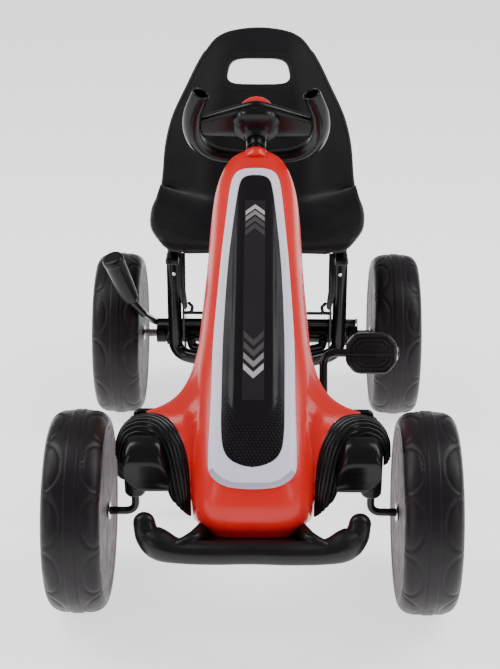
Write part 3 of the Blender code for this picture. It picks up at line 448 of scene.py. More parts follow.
def combine(name, pieces, sharp=38):
    """Several made pieces as one."""
    verts, faces = [], []
    for piece in pieces:
        start = len(verts)
        verts += [vert.co.copy() for vert in piece.data.vertices]
        faces += [tuple(start + index for index in face.vertices) for face in piece.data.polygons]
        mesh = piece.data
        bpy.data.objects.remove(piece)
        bpy.data.meshes.remove(mesh)
    return mesh_object(name, verts, faces, sharp)


def bake(piece):
    """Applies the piece's modifiers."""
    bpy.context.view_layer.update()
    graph = bpy.context.evaluated_depsgraph_get()
    mesh = bpy.data.meshes.new_from_object(piece.evaluated_get(graph))
    piece.modifiers.clear()
    piece.data = mesh


def cut_away(piece, cutter):
    """Takes the cutter's shape out of the piece."""
    modifier = piece.modifiers.new("shape", "BOOLEAN")
    modifier.operation = "DIFFERENCE"
    modifier.solver = "EXACT"
    modifier.object = cutter
    bake(piece)
    bpy.data.objects.remove(cutter)
    piece.data.shade_smooth()
    piece.data.set_sharp_from_angle(angle=math.radians(32))


def drill(piece, radius, low, high, point, direction, sides=36):
    """Cuts a round hole from `low` to `high` along an axis."""
    profile = ((0, low), (radius, low), (radius, high), (0, high))
    cut_away(piece, lathe("hole", profile, point, direction, sides, soft=0))


def dress(piece, finish, body, *nodes, slot=None):
    """Gives a piece its material, the body it rides on and the solids it stands for."""
    piece.data.materials.clear()
    piece.data.materials.append(finish)
    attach(piece, body)
    if nodes:
        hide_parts(*nodes)


def bolt_head(radius, height, place, sides=6):
    """A hexagonal head, or a round one with more sides, its top chamfered."""
    rows = [
        [place @ Vector((radius * size * c, radius * size * s, level)) for c, s in turns(sides)]
        for size, level in ((1.0, 0), (1.0, height * 0.75), (0.86, height), (0.4, height))
    ]
    return surface("bolt", rows, ring=True, caps=True, sharp=25)


# --- hood ---------------------------------------------------------------------------------------

# Stations from the steering collar to the chin: the crown of the section and its lower edge, as
# (distance behind the front axle, height), and half of its width.
HOOD_STATIONS = (
    ((0.334, 0.511), (0.350, 0.478), 0.027),
    ((0.327, 0.508), (0.346, 0.458), 0.044),
    ((0.303, 0.496), (0.335, 0.425), 0.056),
    ((0.270, 0.476), (0.310, 0.385), 0.062),
    ((0.200, 0.430), (0.235, 0.320), 0.067),
    ((0.110, 0.372), (0.140, 0.245), 0.0755),
    ((0.030, 0.321), (0.050, 0.200), 0.083),
    ((-0.040, 0.276), (-0.010, 0.165), 0.0805),
    ((-0.088, 0.241), (-0.045, 0.154), 0.0755),
    ((-0.110, 0.210), (-0.060, 0.152), 0.072),
    ((-0.1155, 0.180), (-0.067, 0.152), 0.0675),
    ((-0.108, 0.152), (-0.074, 0.150), 0.054),
)
HOOD_SQUARENESS = 3.2
HOOD_T = 0.0025
LAST_STATION = len(HOOD_STATIONS) - 1


def blend(values, position):
    """A smooth curve through equally spaced values, at a position from 0 to len(values) - 1."""
    last = len(values) - 1
    index = max(min(int(position), last - 1), 0)
    before, after = values[max(index - 1, 0)], values[min(index + 2, last)]
    return spline(before, values[index], values[index + 1], after, position - index)


HOOD_COLUMNS = list(zip(*[(*crown, *edge, half) for crown, edge, half in HOOD_STATIONS]))


def hood_point(station, across, lift=0.0):
    """A point of the hood's outer surface: `station` along it, `across` from -1 to 1."""
    crown_y, crown_z, edge_y, edge_z, half = (blend(values, station) for values in HOOD_COLUMNS)
    angle = across * math.pi / 2
    power = 2 / HOOD_SQUARENESS
    side = math.copysign(abs(math.sin(angle)) ** power, across)
    rise = max(math.cos(angle), 0.0) ** power
    edge = Vector((0, front(edge_y), edge_z))
    up = Vector((0, front(crown_y), crown_z)) - edge
    return edge + up * (rise + lift / up.length) + Vector((side * (half + lift), 0, 0))


def hood_at(station, x, lift):
    """A point over the hood, this far from its middle line and raised by `lift`."""
    half = blend(HOOD_COLUMNS[4], station)
    share = min(abs(x) / half, 1) ** (HOOD_SQUARENESS / 2)
    across = math.copysign(math.asin(share) * 2 / math.pi, x)
    step = 0.02
    along = hood_point(min(station + step, LAST_STATION), across) - hood_point(station - step, across)
    sideways = hood_point(station, across + step) - hood_point(station, across - step)
    return hood_point(station, across) + along.cross(sideways).normalized() * lift


def flank_x(distance, z):
    """How far out the hood's side is at this distance behind the front axle and this height."""
    best = None
    for step in range(20, 181):
        station = step * 0.05
        crown_y, crown_z, edge_y, edge_z, half = (blend(v, station) for v in HOOD_COLUMNS)
        up = (crown_y - edge_y, crown_z - edge_z)
        off = (distance - edge_y, z - edge_z)
        miss = abs(up[0] * off[1] - up[1] * off[0]) / math.hypot(*up)
        if best is None or miss < best[0]:
            rise = (up[0] * off[0] + up[1] * off[1]) / (up[0] ** 2 + up[1] ** 2)
            best = (miss, half, min(max(rise, 0), 1))
    _, half, rise = best
    power = 2 / HOOD_SQUARENESS
    angle = math.acos(min(rise ** (1 / power), 1))
    return half * math.sin(angle) ** power


def cubic(points, t):
    a, b, c, d = points
    s = 1 - t
    return a * s**3 + b * 3 * s * s * t + c * 3 * s * t * t + d * t**3


# The shoulder's free edge: round its tip, then along the fender's border down to the flank.
SHOULDER_EDGE = (
    (0.1345, 0.040, 0.2535), (0.1360, 0.031, 0.2560), (0.1330, 0.024, 0.2580), (0.1240, 0.017, 0.2605),
    (0.1120, 0.006, 0.2625), (0.1010, -0.008, 0.2610), (0.0925, -0.022, 0.2540),
    (0.0865, -0.034, 0.2400), (0.0815, -0.044, 0.2180), (0.0778, -0.050, 0.1950), (0.0745, -0.054, 0.1700),
)
# Where the shoulder leaves the flank, matched to it: distance behind the front axle, and height.
SHOULDER_ROOT = (
    (0.118, 0.330), (0.092, 0.322), (0.068, 0.314), (0.048, 0.306), (0.028, 0.297), (0.008, 0.285),
    (-0.012, 0.270), (-0.028, 0.254), (-0.040, 0.232), (-0.047, 0.206), (-0.051, 0.180),
)


def shoulder_rows(side):
    """The flare over the fender: each row leaves the flank along its surface and curls outwards."""
    rows = []
    steps = 22
    line = smooth_line([(*edge, *root) for edge, root in zip(SHOULDER_EDGE, SHOULDER_ROOT)], 5)
    for index, (x, distance, z, root_d, root_z) in enumerate(line):
        w = index / (len(line) - 1)
        start = Vector((flank_x(root_d, root_z), front(root_d), root_z))
        below = Vector((flank_x(root_d, root_z - 0.005), front(root_d), root_z - 0.005))
        down = (below - start).normalized()
        tip = Vector((x, front(distance), z))
        span = (tip - start).length
        arrive = Vector((1, 0.10, -0.34 - 0.5 * w)).normalized()
        handles = (
            start - Vector((0.0006, 0, 0)),
            start + (down + Vector((0, -0.35 * (1 - w), 0))).normalized() * span * 0.50,
            tip - arrive * span * 0.46,
            tip,
        )
        row = []
        for step in range(steps + 1):
            spot = cubic(handles, step / steps)
            row.append(Vector((side * spot.x, spot.y, spot.z)))
        rows.append(row)
    return rows


def make_hood():
    across_steps, along_steps = 72, 120
    rows = [
        [
            hood_point(LAST_STATION * step / along_steps, -1 + 2 * index / across_steps)
            for index in range(across_steps + 1)
        ]
        for step in range(along_steps + 1)
    ]
    hood = shell("hood_moulding", rows, HOOD_T)
    opening = rounded_box(
        "opening", (0.30, 0.100, 0.110), Matrix.Translation((0, front(0.026), 0.201)), 0.012, 5
    )
    cut_away(hood, opening)
    drill(hood, 0.0080, -0.07, 0.02, SHAFT_TOP, SHAFT_DIR, 64)
    dress(hood, RED, "chassis", "hood")
    for side, word in SIDES:
        flare = shell(f"hood_shoulder_{word}", shoulder_rows(side), side * HOOD_T)
        dress(flare, RED, "chassis")
    # The collar's rolled lip, where the steering column comes through
    collar = lathe(
        "hood_collar",
        ((0.0085, -0.014), (0.0178, -0.014), (0.0182, -0.006), (0.0164, -0.0005), (0.0140, 0.0010),
         (0.0085, 0.0010)),
        SHAFT_TOP - SHAFT_DIR * 0.038, SHAFT_DIR, closed=True,
    )
    dress(collar, RED, "chassis")


# Half of the trim's two outlines, from the top of the middle line round to the bottom, in pairs:
# (station, x) of the outer edge and of the inner edge.
TRIM_PAIRS = (
    ((2.10, 0.0000), (2.47, 0.0000)),
    ((2.11, 0.0095), (2.48, 0.0055)),
    ((2.15, 0.0170), (2.51, 0.0105)),
    ((2.24, 0.0235), (2.57, 0.0150)),
    ((2.42, 0.0285), (2.70, 0.0193)),
    ((2.75, 0.0325), (2.95, 0.0225)),
    ((3.50, 0.0378), (3.55, 0.0277)),
    ((4.50, 0.0452), (4.50, 0.0352)),
    ((5.50, 0.0506), (5.50, 0.0387)),
    ((6.40, 0.0515), (6.40, 0.0389)),
    ((7.10, 0.0526), (7.05, 0.0384)),
    ((7.55, 0.0530), (7.45, 0.0362)),
    ((7.85, 0.0528), (7.68, 0.0320)),
    ((8.12, 0.0500), (7.84, 0.0255)),
    ((8.38, 0.0420), (7.94, 0.0175)),
    ((8.58, 0.0300), (8.00, 0.0090)),
    ((8.66, 0.0150), (8.02, 0.0030)),
    ((8.68, 0.0000), (8.03, 0.0000)),
)


def make_trim():
    """Pale frame: an outer facet that widens below, a flat, and a bevel down to the panel."""
    half = smooth_line([(*outer, *inner) for outer, inner in TRIM_PAIRS], 5)
    loop = [(a, b, c, d, 1) for a, b, c, d in half]
    loop += [(a, b, c, d, -1) for a, b, c, d in reversed(half[1:-1])]
    rows, painted_shade_rows = [], []
    for outer_s, outer_x, inner_s, inner_x, side in loop:
        outer_x, inner_x = side * outer_x, side * inner_x
        low = min(max((outer_s - 7.3) / 1.0, 0), 1)
        width = (hood_at(outer_s, outer_x, 0) - hood_at(inner_s, inner_x, 0)).length
        facet = (0.0022 + 0.0058 * low) / width
        band = 1 - (0.0042 - 0.001 * low) / width
        lips = (
            (-0.004, -0.0004), (0.0, 0.0012), (facet * 0.25, 0.0024), (facet, 0.0038),
            (facet + 0.06, 0.0042), ((facet + band) / 2, 0.0043), (band - 0.05, 0.0042),
            (band, 0.0039), (band + (1 - band) * 0.45, 0.0022), (1.0, 0.0018), (1.003, 0.0002),
        )
        rows.append(
            [
                hood_at(outer_s + (inner_s - outer_s) * w, outer_x + (inner_x - outer_x) * w, lift)
                for w, lift in lips
            ]
        )
        painted_shade_rows.append(low)
    trim = surface("hood_frame", rows, ring=True, closed=True, sharp=28)
    dress(trim, WHITE, "chassis", "hood_trim")
    # The outer facet low on the nose gets the darker copy of the white: painted shade.
    trim.data.materials.append(WHITE_PAINTED_SHADE)
    count = len(rows[0])
    for face in trim.data.polygons:
        row, column = divmod(face.index, count)
        if column < 3 and painted_shade_rows[row] > 0.75:
            face.material_index = 1


def panel_lift(station, x):
    """How proud the dark panel is: its middle stands up as a tongue with soft sides."""
    half, round_start, round_length = 0.0285, 6.55, 0.52
    if station >= round_start:
        half *= math.sqrt(max(1 - ((station - round_start) / round_length) ** 2, 0))
    rise = 1 / (1 + math.exp((abs(x) - half + 0.0012) / 0.0007)) if half > 0 else 0
    start = min(max((station - 3.6) / 1.2, 0), 1)
    return 0.0006 + 0.0018 * rise * start


def panel_half(station):
    """Half width of the hole in the trim at this station, a little more so that it tucks under."""
    rows = smooth_line([inner for _, inner in TRIM_PAIRS], 6)
    for (s0, x0), (s1, x1) in zip(rows, rows[1:]):
        if s0 <= station <= s1 and s1 > s0:
            return x0 + (x1 - x0) * (station - s0) / (s1 - s0) + 0.0015
    return 0.001


def make_panel():
    """Dark glossy panel under the trim, ending in a round tongue over the grille."""
    rows = []
    top, bottom = 2.475, 8.02
    for step in range(141):
        station = top + (bottom - top) * step / 140
        half = panel_half(station)
        rows.append(
            [hood_at(station, half * x / 24, panel_lift(station, half * x / 24)) for x in range(-24, 25)]
        )
    panel = shell("hood_panel_moulding", rows, 0.0004, sharp=50)
    dress(panel, PANEL, "chassis", "hood_panel")


SCOOP_PITCH, SCOOP_ROW = 0.0046, 0.0042


def make_grille():
    """Punched grille round the tongue: staggered slanted scoops, each a small hooded dimple."""
    verts, faces = [], []
    station, row_index = 6.50, 0
    while station < 7.97:
        half = panel_half(station) - 0.0040
        shift = 0.5 * (row_index % 2)
        count = int(half / SCOOP_PITCH) + 1
        for index in range(-count, count + 1):
            x = (index + shift) * SCOOP_PITCH
            if abs(x) > half or panel_lift(station, x) > 0.0011:
                continue
            centre = hood_at(station, x, 0.0006)
            down = (hood_at(station + 0.02, x, 0.0006) - centre).normalized()
            across = (hood_at(station, x + 0.001, 0.0006) - centre).normalized()
            out = across.cross(down).normalized()
            if out.y > 0:
                out = -out
            long, wide = (down + across * 0.55).normalized(), (across - down * 0.55).normalized()
            start = len(verts)
            for size, level in ((1.0, -0.0002), (0.92, 0.0005), (0.55, 0.0010)):
                for c, s in turns(8):
                    verts.append(
                        centre + long * 0.00170 * size * c + wide * 0.00100 * size * s + out * level
                        + down * (0.0004 * (1 - size))
                    )
            verts.append(centre + out * 0.00112)
            for ring in range(2):
                for step in range(8):
                    after = (step + 1) % 8
                    base = start + ring * 8
                    faces.append((base + step, base + after, base + 8 + after, base + 8 + step))
            for step in range(8):
                faces.append((start + 16 + step, start + 16 + (step + 1) % 8, start + 24))
            faces.append(tuple(start + step for step in reversed(range(8))))
        here = hood_at(station, 0, 0)
        ahead = hood_at(station + 0.05, 0, 0)
        station += 0.05 * SCOOP_ROW / (ahead - here).length
        row_index += 1
    grille = mesh_object("grille_scoops", verts, faces, 45)
    dress(grille, SATIN, "chassis", "hood_grille")


def decal(name, outline_rows, lift, finish):
    """A thin printed shape over the panel, through rows of (station, x)."""
    rows = [
        [hood_at(station, x, panel_lift(station, x) + lift) for station, x in row]
        for row in outline_rows
    ]
    piece = shell(name, rows, 0.00008, sharp=60)
    dress(piece, finish, "chassis")


def make_stickers():
    """Dark strip down the panel with four fading chevrons at each end. No lettering."""
    top, bottom, half = 3.30, 6.60, 0.0137
    rows = [[(top + (bottom - top) * step / 60, half * x / 6) for x in range(-6, 7)] for step in range(61)]
    decal("sticker_strip", rows, 0.00012, STRIP)
    for index, (tip, depth, thick, way) in enumerate(
        (
            (3.385, 0.132, 0.080, 1), (3.500, 0.132, 0.080, 1),
            (3.620, 0.132, 0.085, 1), (3.745, 0.132, 0.090, 1),
            (6.235, 0.155, 0.105, -1), (6.050, 0.155, 0.100, -1),
            (5.870, 0.155, 0.100, -1), (5.695, 0.155, 0.100, -1),
        )
    ):
        arm = 0.0127
        rows = []
        for step in range(3):
            line = []
            for x in range(-8, 9):
                share = abs(x) / 8
                line.append((tip + way * (depth * share + thick * step / 2), arm * x / 8))
            rows.append(line)
        decal(f"sticker_chevron_{index + 1}", rows, 0.00025, CHEVRON_TONES[index % 4])


# --- fenders and bumper -------------------------------------------------------------------------

# The fender's rear and inner border, from its outer top over and down to the inner tip, and the
# border of its smooth dome, nested in the first: (x, distance behind the front axle, height).
FENDER_BORDER = (
    (0.1650, -0.004, 0.2240), (0.1640, 0.004, 0.2390), (0.1550, 0.0130, 0.2510), (0.1395, 0.0190, 0.2560),
    (0.1240, 0.0165, 0.2580), (0.1120, 0.006, 0.2595), (0.1010, -0.008, 0.2580), (0.0920, -0.022, 0.2510),
    (0.0850, -0.034, 0.2370), (0.0805, -0.043, 0.2160), (0.0788, -0.049, 0.1880), (0.0778, -0.053, 0.1540),
)
DOME_BORDER = (
    (0.1645, -0.018, 0.2070), (0.1640, -0.015, 0.2210), (0.1585, -0.012, 0.2340), (0.1480, -0.011, 0.2410),
    (0.1365, -0.012, 0.2420), (0.1260, -0.016, 0.2385), (0.1180, -0.025, 0.2300), (0.1120, -0.034, 0.2180),
    (0.1080, -0.041, 0.2030), (0.1050, -0.046, 0.1900), (0.1020, -0.050, 0.1820), (0.0985, -0.053, 0.1760),
)
# Down the middle of the scoop: the plain panel, and the dome that swells out of it
FENDER_PANEL = (
    (-0.006, 0.2350), (-0.018, 0.2330), (-0.031, 0.2280), (-0.0415, 0.2200), (-0.0475, 0.2110),
    (-0.0495, 0.2020), (-0.0500, 0.1950), (-0.0505, 0.1900), (-0.0490, 0.1855),
)
FENDER_DOME = (
    (-0.004, 0.2385), (-0.018, 0.2480), (-0.034, 0.2475), (-0.0465, 0.2390), (-0.0535, 0.2270),
    (-0.0525, 0.2140), (-0.0510, 0.2000), (-0.0515, 0.1900), (-0.0500, 0.1855),
)
FENDER_RIBS = 6
FENDER_T = 0.0018


def make_fender(side, word):
    """Ribbed scoop: rounded ribs sweep over the top and down the inner side of a smooth dome."""
    outer = smooth_line(FENDER_BORDER, 6)
    inner = smooth_line(DOME_BORDER, 6)
    across = 60
    rows = []
    for step in range(across + 1):
        w = step / across
        row = []
        for a, b in zip(outer, inner):
            a, b = Vector((a[0], front(a[1]), a[2])), Vector((b[0], front(b[1]), b[2]))
            spot = a.lerp(b, w)
            away = (spot - Vector((0.128, front(0.020), 0.190))).normalized()
            bulge = 0.0070 * math.sin(math.pi * w)
            rib = 0.0025 * abs(math.sin(math.pi * FENDER_RIBS * w)) ** 0.65
            row.append(spot + away * (bulge + rib - 0.0008))
        rows.append(row)
    ribs = [[Vector((side * p.x, p.y, p.z)) for p in row] for row in rows]
    ribbed = shell(f"fender_ribs_{word}", ribs, side * FENDER_T, sharp=60)
    # The dome inside them, with a plain panel and a lip below it: (distance, height) downwards
    flat = smooth_line([(0, *p) for p in FENDER_PANEL], 6)
    full = smooth_line([(0, *p) for p in FENDER_DOME], 6)
    rows = []
    inner_x, outer_x = 0.1035, 0.1590
    for step in range(41):
        x = inner_x + (outer_x - inner_x) * step / 40
        swell = max(1 - abs((x - 0.1345) / 0.0315) ** 3, 0) ** 0.6
        drop = 0.012 * max((x - 0.1510) / 0.0135, 0) ** 1.6 + 0.012 * max((0.1160 - x) / 0.0125, 0) ** 1.4
        corner = 0.020 * max((x - 0.1400) / 0.0190, 0) ** 1.8
        row = []
        for index, (p, q) in enumerate(zip(flat, full)):
            down = index / (len(flat) - 1)
            fall = drop * (1 - down) - corner * down**2.5
            row.append(
                Vector((side * x, front(p[1] + (q[1] - p[1]) * swell), p[2] + (q[2] - p[2]) * swell - fall))
            )
        rows.append(row)
    dome = shell(f"fender_dome_{word}", rows, -side * FENDER_T, sharp=70)
    housing = lathe(
        f"fender_kingpin_housing_{word}",
        (
            (0.0060, 0.1545), (0.0105, 0.1545), (0.0132, 0.1580), (0.0136, 0.1700),
            (0.0136, 0.1850), (0.0140, 0.2150), (0.0125, 0.2360), (0.0060, 0.2400),
        ),
        (side * KINGPIN_X, FRONT_Y, 0), (0, 0, 1), closed=True, soft=0.003,
    )
    dress(ribbed, GLOSS, "chassis", f"fender_{word}")
    dress(dome, GLOSS, "chassis")
    dress(housing, SATIN, "chassis", f"kingpin_bush_{word}")


def make_bumper():
    """Moustache bumper with thick upturned ends, and a flared neck that goes in under the nose."""
    tip = 0.1305
    half = (
        (0.000, -0.1340, 0.1500), (0.045, -0.1340, 0.1490), (0.085, -0.1290, 0.1475),
        (0.109, -0.1200, 0.1500), (0.1255, -0.1095, 0.1580), (tip, -0.1030, 0.1715),
    )
    points = [(-x, front(y), z) for x, y, z in reversed(half[1:])]
    points += [(x, front(y), z) for x, y, z in half]
    path = smooth_line(points, 8)
    sizes = []
    for x, _, _ in path:
        share = min(abs(x) / tip, 1)
        grow = 0.0042 * math.exp(-(((share - 0.86) / 0.13) ** 2))
        sizes.append((0.0140 + grow - 0.0020 * max(share - 0.93, 0) / 0.07, 0.0136 + grow))
    bar = sweep("bumper_bar", path, sizes, 36, up=(0, -0.35, 1), power=2.5, dome=True)
    rows = []
    for d, z, wide, thick in (
        (-0.1320, 0.1470, 0.0880, 0.0080), (-0.1270, 0.1485, 0.0800, 0.0085),
        (-0.1210, 0.1490, 0.0740, 0.0085), (-0.1130, 0.1485, 0.0700, 0.0080),
        (-0.0980, 0.1460, 0.0640, 0.0070), (-0.0800, 0.1450, 0.0560, 0.0070),
        (-0.0600, 0.1450, 0.0480, 0.0070),
    ):
        rows.append(
            [
                Vector((wide * signed_power(c, 0.5), front(d), z + thick * signed_power(s, 0.6)))
                for c, s in turns(40)
            ]
        )
    neck = surface("bumper_neck", rows, ring=True, caps=True, sharp=50)
    dress(bar, SATIN, "chassis", "bumper")
    dress(neck, SATIN, "chassis")
    # A flared foot on each side, from the bar back to the corner of the nose, with its bolt on top
    bolts = []
    for side, word in SIDES:
        line = smooth_line(
            (
                (side * 0.0980, front(-0.1290), 0.1490), (side * 0.0820, front(-0.1270), 0.1550),
                (side * 0.0690, front(-0.1180), 0.1590), (side * 0.0600, front(-0.0980), 0.1580),
                (side * 0.0560, front(-0.0800), 0.1540),
            ),
            8,
        )
        foot = sweep(f"bumper_foot_{word}", line, 0.0098, 24, dome=True)
        dress(foot, SATIN, "chassis")
        bolts.append(
            bolt_head(0.0040, 0.0024, at((side * 0.0690, front(-0.1195), 0.1686), (side * 0.05, -0.25, 1)))
        )
    dress(combine("bumper_bolts", bolts, 25), STEEL, "chassis")


# --- seat ---------------------------------------------------------------------------------------

# From the front lip, back along the pan and up the back rest: distance behind the front axle,
# height, half width, and how far the side bolsters stand proud.
SEAT_STATIONS = (
    (0.4620, 0.313, 0.106, 0.000),
    (0.4570, 0.321, 0.130, 0.003),
    (0.4680, 0.330, 0.148, 0.008),
    (0.5100, 0.325, 0.162, 0.018),
    (0.5900, 0.314, 0.166, 0.028),
    (0.6550, 0.308, 0.162, 0.034),
    (0.7000, 0.320, 0.157, 0.038),
    (0.7200, 0.352, 0.153, 0.040),
    (0.7350, 0.400, 0.149, 0.038),
    (0.7500, 0.445, 0.138, 0.032),
    (0.7640, 0.490, 0.117, 0.024),
    (0.7770, 0.532, 0.096, 0.016),
    (0.7860, 0.560, 0.077, 0.008),
    (0.7900, 0.572, 0.060, 0.003),
    (0.7920, 0.5775, 0.042, 0.000),
)
SEAT_COLUMNS = [[item[column] for item in SEAT_STATIONS] for column in range(4)]
SEAT_LAST = len(SEAT_STATIONS) - 1
SEAT_ROLL = 0.0050
SLOT_Z = 0.5180


def seat_point(station, across):
    """A point of the seat's upper and front surface, and the direction it faces there."""
    y, z, half, proud = (blend(values, station) for values in SEAT_COLUMNS)
    low, high = max(station - 0.05, 0), min(station + 0.05, SEAT_LAST)
    dy = blend(SEAT_COLUMNS[0], high) - blend(SEAT_COLUMNS[0], low)
    dz = blend(SEAT_COLUMNS[1], high) - blend(SEAT_COLUMNS[1], low)
    normal = Vector((0, -dz, dy)).normalized()
    # The middle is a flat panel, and the bolsters start at a soft crease
    start = 0.47
    share = max(abs(across) - start, 0) / (1 - start)
    rise = proud * (0.12 * share + 0.88 * share**1.7)
    # A shallow seat for each thigh, and a low crown between them
    if station < 7:
        dip = math.exp(-(((abs(across) - 0.42) / 0.26) ** 2)) * math.exp(-(((station - 4.2) / 1.6) ** 2))
        rise -= 0.004 * dip
    arch = 0.0042 * max(station - 12, 0) / 2 * (1 - across**2)
    return Vector((across * (half - SEAT_ROLL), front(y), z + arch)) + normal * rise, normal


def seat_at(x, z):
    """The point of the back rest at this width and height, and its facing."""
    low, high = 7.0, float(SEAT_LAST)
    for _ in range(30):
        mid = (low + high) / 2
        if blend(SEAT_COLUMNS[1], mid) < z:
            low = mid
        else:
            high = mid
    station = (low + high) / 2
    return seat_point(station, x / (blend(SEAT_COLUMNS[2], station) - SEAT_ROLL))


def slot_outline(grow, steps):
    """Rounded slot for a hand, narrower at its top, as (x, z)."""
    points = []
    for c, s in turns(steps):
        c, s = signed_power(c, 0.42), signed_power(s, 0.62)
        points.append(((0.0500 - 0.0045 * s + grow) * c, SLOT_Z + (0.0200 + grow) * s))
    return points


def make_seat():
    across_steps, along_steps = 64, 110
    inset = 0.16
    rows = []
    for step in range(along_steps + 1):
        station = inset + (SEAT_LAST - 2 * inset) * step / along_steps
        rows.append([seat_point(station, -1 + 2 * i / across_steps)[0] for i in range(across_steps + 1)])
    normals = grid_normals(rows)
    count = across_steps + 1
    verts = [point for row in rows for point in row]
    faces = grid_faces(len(rows), count)
    # The border, once round, then rolled over away from the rider
    loop = list(range(count))
    loop += [row * count + count - 1 for row in range(1, len(rows))]
    loop += [(len(rows) - 1) * count + index for index in reversed(range(count - 1))]
    loop += [row * count for row in reversed(range(1, len(rows) - 1))]
    flat_normals = [normal for line in normals for normal in line]
    total = len(loop)
    outs, downs = [], []
    centre = sum((verts[i] for i in loop), Vector()) / total
    for index, vert in enumerate(loop):
        tangent = verts[loop[(index + 3) % total]] - verts[loop[(index - 3) % total]]
        normal = flat_normals[vert]
        if normal.dot(seat_point(6.5, 0)[1]) < 0:
            normal = -normal
        out = tangent.cross(normal).normalized()
        if out.dot(verts[vert] - centre) < 0:
            out = -out
        if verts[vert].z > 0.550:
            # Over the top the border is one arch, corners and all
            out = Vector((verts[vert].x, 0, verts[vert].z - 0.500)).normalized()
            normal = Vector((0, -1, 0.12)).normalized()
        outs.append(out)
        downs.append(-normal)
    before = loop
    for step in range(1, 8):
        angle = math.radians(150) * step / 7
        start = len(verts)
        for index, vert in enumerate(loop):
            verts.append(
                verts[vert]
                + outs[index] * SEAT_ROLL * math.sin(angle)
                + downs[index] * SEAT_ROLL * (1 - math.cos(angle))
            )
        here = [start + index for index in range(total)]
        for index in range(total):
            after = (index + 1) % total
            faces.append((before[index], before[after], here[after], here[index]))
        before = here
    seat = mesh_object("seat_moulding", verts, faces, 60)
    up = seat.data.polygons[along_steps // 2 * across_steps + across_steps // 2].normal
    wall = seat.modifiers.new("wall", "SOLIDIFY")
    wall.thickness = 0.0026
    wall.offset = -1 if up.dot(seat_point(6.5, 0)[1]) > 0 else 1
    bake(seat)
    middle_point, facing = seat_at(0, SLOT_Z)
    sideways = Vector((1, 0, 0))
    up_slope = facing.cross(sideways).normalized()
    if up_slope.z < 0:
        up_slope = -up_slope
    place = Matrix((sideways, up_slope, facing)).transposed().to_4x4()
    place.translation = middle_point
    cutter = prism("slot", [(x, z - SLOT_Z) for x, z in slot_outline(0.001, 40)], 0.09, place, 0, 1)
    cut_away(seat, cutter)
    dress(seat, SEAT, "seat", "seat_shell")
    # Raised lip round the slot, turned back through it
    rows = []
    for grow, lift in (
        (0.0100, -0.0010), (0.0080, 0.0004), (0.0055, 0.0006), (0.0030, 0.0002),
        (0.0014, -0.0010), (0.0004, -0.0028), (0.0, -0.0050), (-0.0003, -0.0110), (0.0007, -0.0114),
    ):
        row = []
        for x, z in slot_outline(grow, 72):
            spot, normal = seat_at(x, z)
            row.append(spot + normal * lift)
        rows.append(row)
    lip = surface("seat_slot_lip", rows, ring=True, closed=True, sharp=50)
    dress(lip, SEAT, "seat")
    # The sliders under the pan, and the notched rails that they run on
    for side, word in SIDES:
        rail_low = COLUMN_TOP + 0.0008 + 0.012
        block = rounded_box(
            f"seat_slider_{word}", (0.021, 0.110, 0.024),
            at((side * (COLUMN_X - 0.005), front(0.575), rail_low + 0.012)), 0.006, 5,
        )
        dress(block, SATIN, "seat", f"seat_slider_{word}")
        bolts = [
            bolt_head(
                0.0048, 0.0026,
                at((side * (COLUMN_X + 0.0055), front(0.575 + step), rail_low + 0.013), (side, 0, 0)),
            )
            for step in (-0.036, 0.0, 0.036)
        ]
        dress(combine(f"slider_bolts_{word}", bolts, 25), ZINC, "seat")
        rail = rounded_box(
            f"seat_rail_{word}", (0.0205, 0.145, 0.012),
            at((side * COLUMN_X, front(0.5775), COLUMN_TOP + 0.0004 + 0.006)), 0.0040, 4,
        )
        for step in range(1, 6):
            notch = rounded_box(
                "notch", (0.010, 0.007, 0.02),
                at((side * (COLUMN_X + 0.0120), front(0.505 + 0.024 * step), COLUMN_TOP + 0.009)),
                0.001, 2,
            )
            cut_away(rail, notch)
        dress(rail, STEEL, "chassis", f"seat_rail_{word}")


# --- wheels -------------------------------------------------------------------------------------

TYRE_HALF = 0.0365
TREAD_HALF_PROFILE = (
    (0.1300, 0.0000), (0.1300, 0.0055), (0.1297, 0.0062), (0.1290, 0.0070), (0.1289, 0.0120),
    (0.1286, 0.0180), (0.1276, 0.0235), (0.1257, 0.0280), (0.1228, 0.0318), (0.1192, 0.0345),
    (0.1150, 0.0361), (0.1112, 0.0365),
)
ARCS = 11
SPOKES = 6


def tread_groove(angle, along):
    """Depth of the moulded arcs: half ellipses that reach in from each shoulder."""
    length, reach = 0.0325, 0.0200
    pitch = 2 * math.pi / ARCS
    offset = ((angle / pitch + 0.5) % 1 - 0.5) * pitch * 0.129
    inward = (0.0335 - abs(along)) / reach
    if inward < -0.1:
        return 0.0
    away = (math.hypot(offset / length, max(inward, 0)) - 1) * reach
    return 0.0013 * math.exp(-((away / 0.0014) ** 2)) + (0.0004 if away < 0 else 0)


def make_tyre(name, centre, side, body, node, turn):
    half = smooth_line(TREAD_HALF_PROFILE, 3)
    profile = [(r, -a) for r, a in reversed(half[1:])] + list(half)
    around = 330
    rows = []
    for r, along in profile:
        row = []
        for step in range(around):
            angle = 2 * math.pi * step / around
            size = r - tread_groove(angle + turn, along)
            row.append(centre + Vector((side * along, size * math.cos(angle), size * math.sin(angle))))
        rows.append(row)
    for r, along in (
        (0.1085, TYRE_HALF - 0.0004), (0.1060, 0.030), (0.1060, -0.030), (0.1085, -TYRE_HALF + 0.0004)
    ):
        rows.append([centre + Vector((side * along, r * c, r * s)) for c, s in turns(around)])
    tyre = surface(name, rows, ring=True, closed=True, sharp=60)
    dress(tyre, FOAM, body, node)


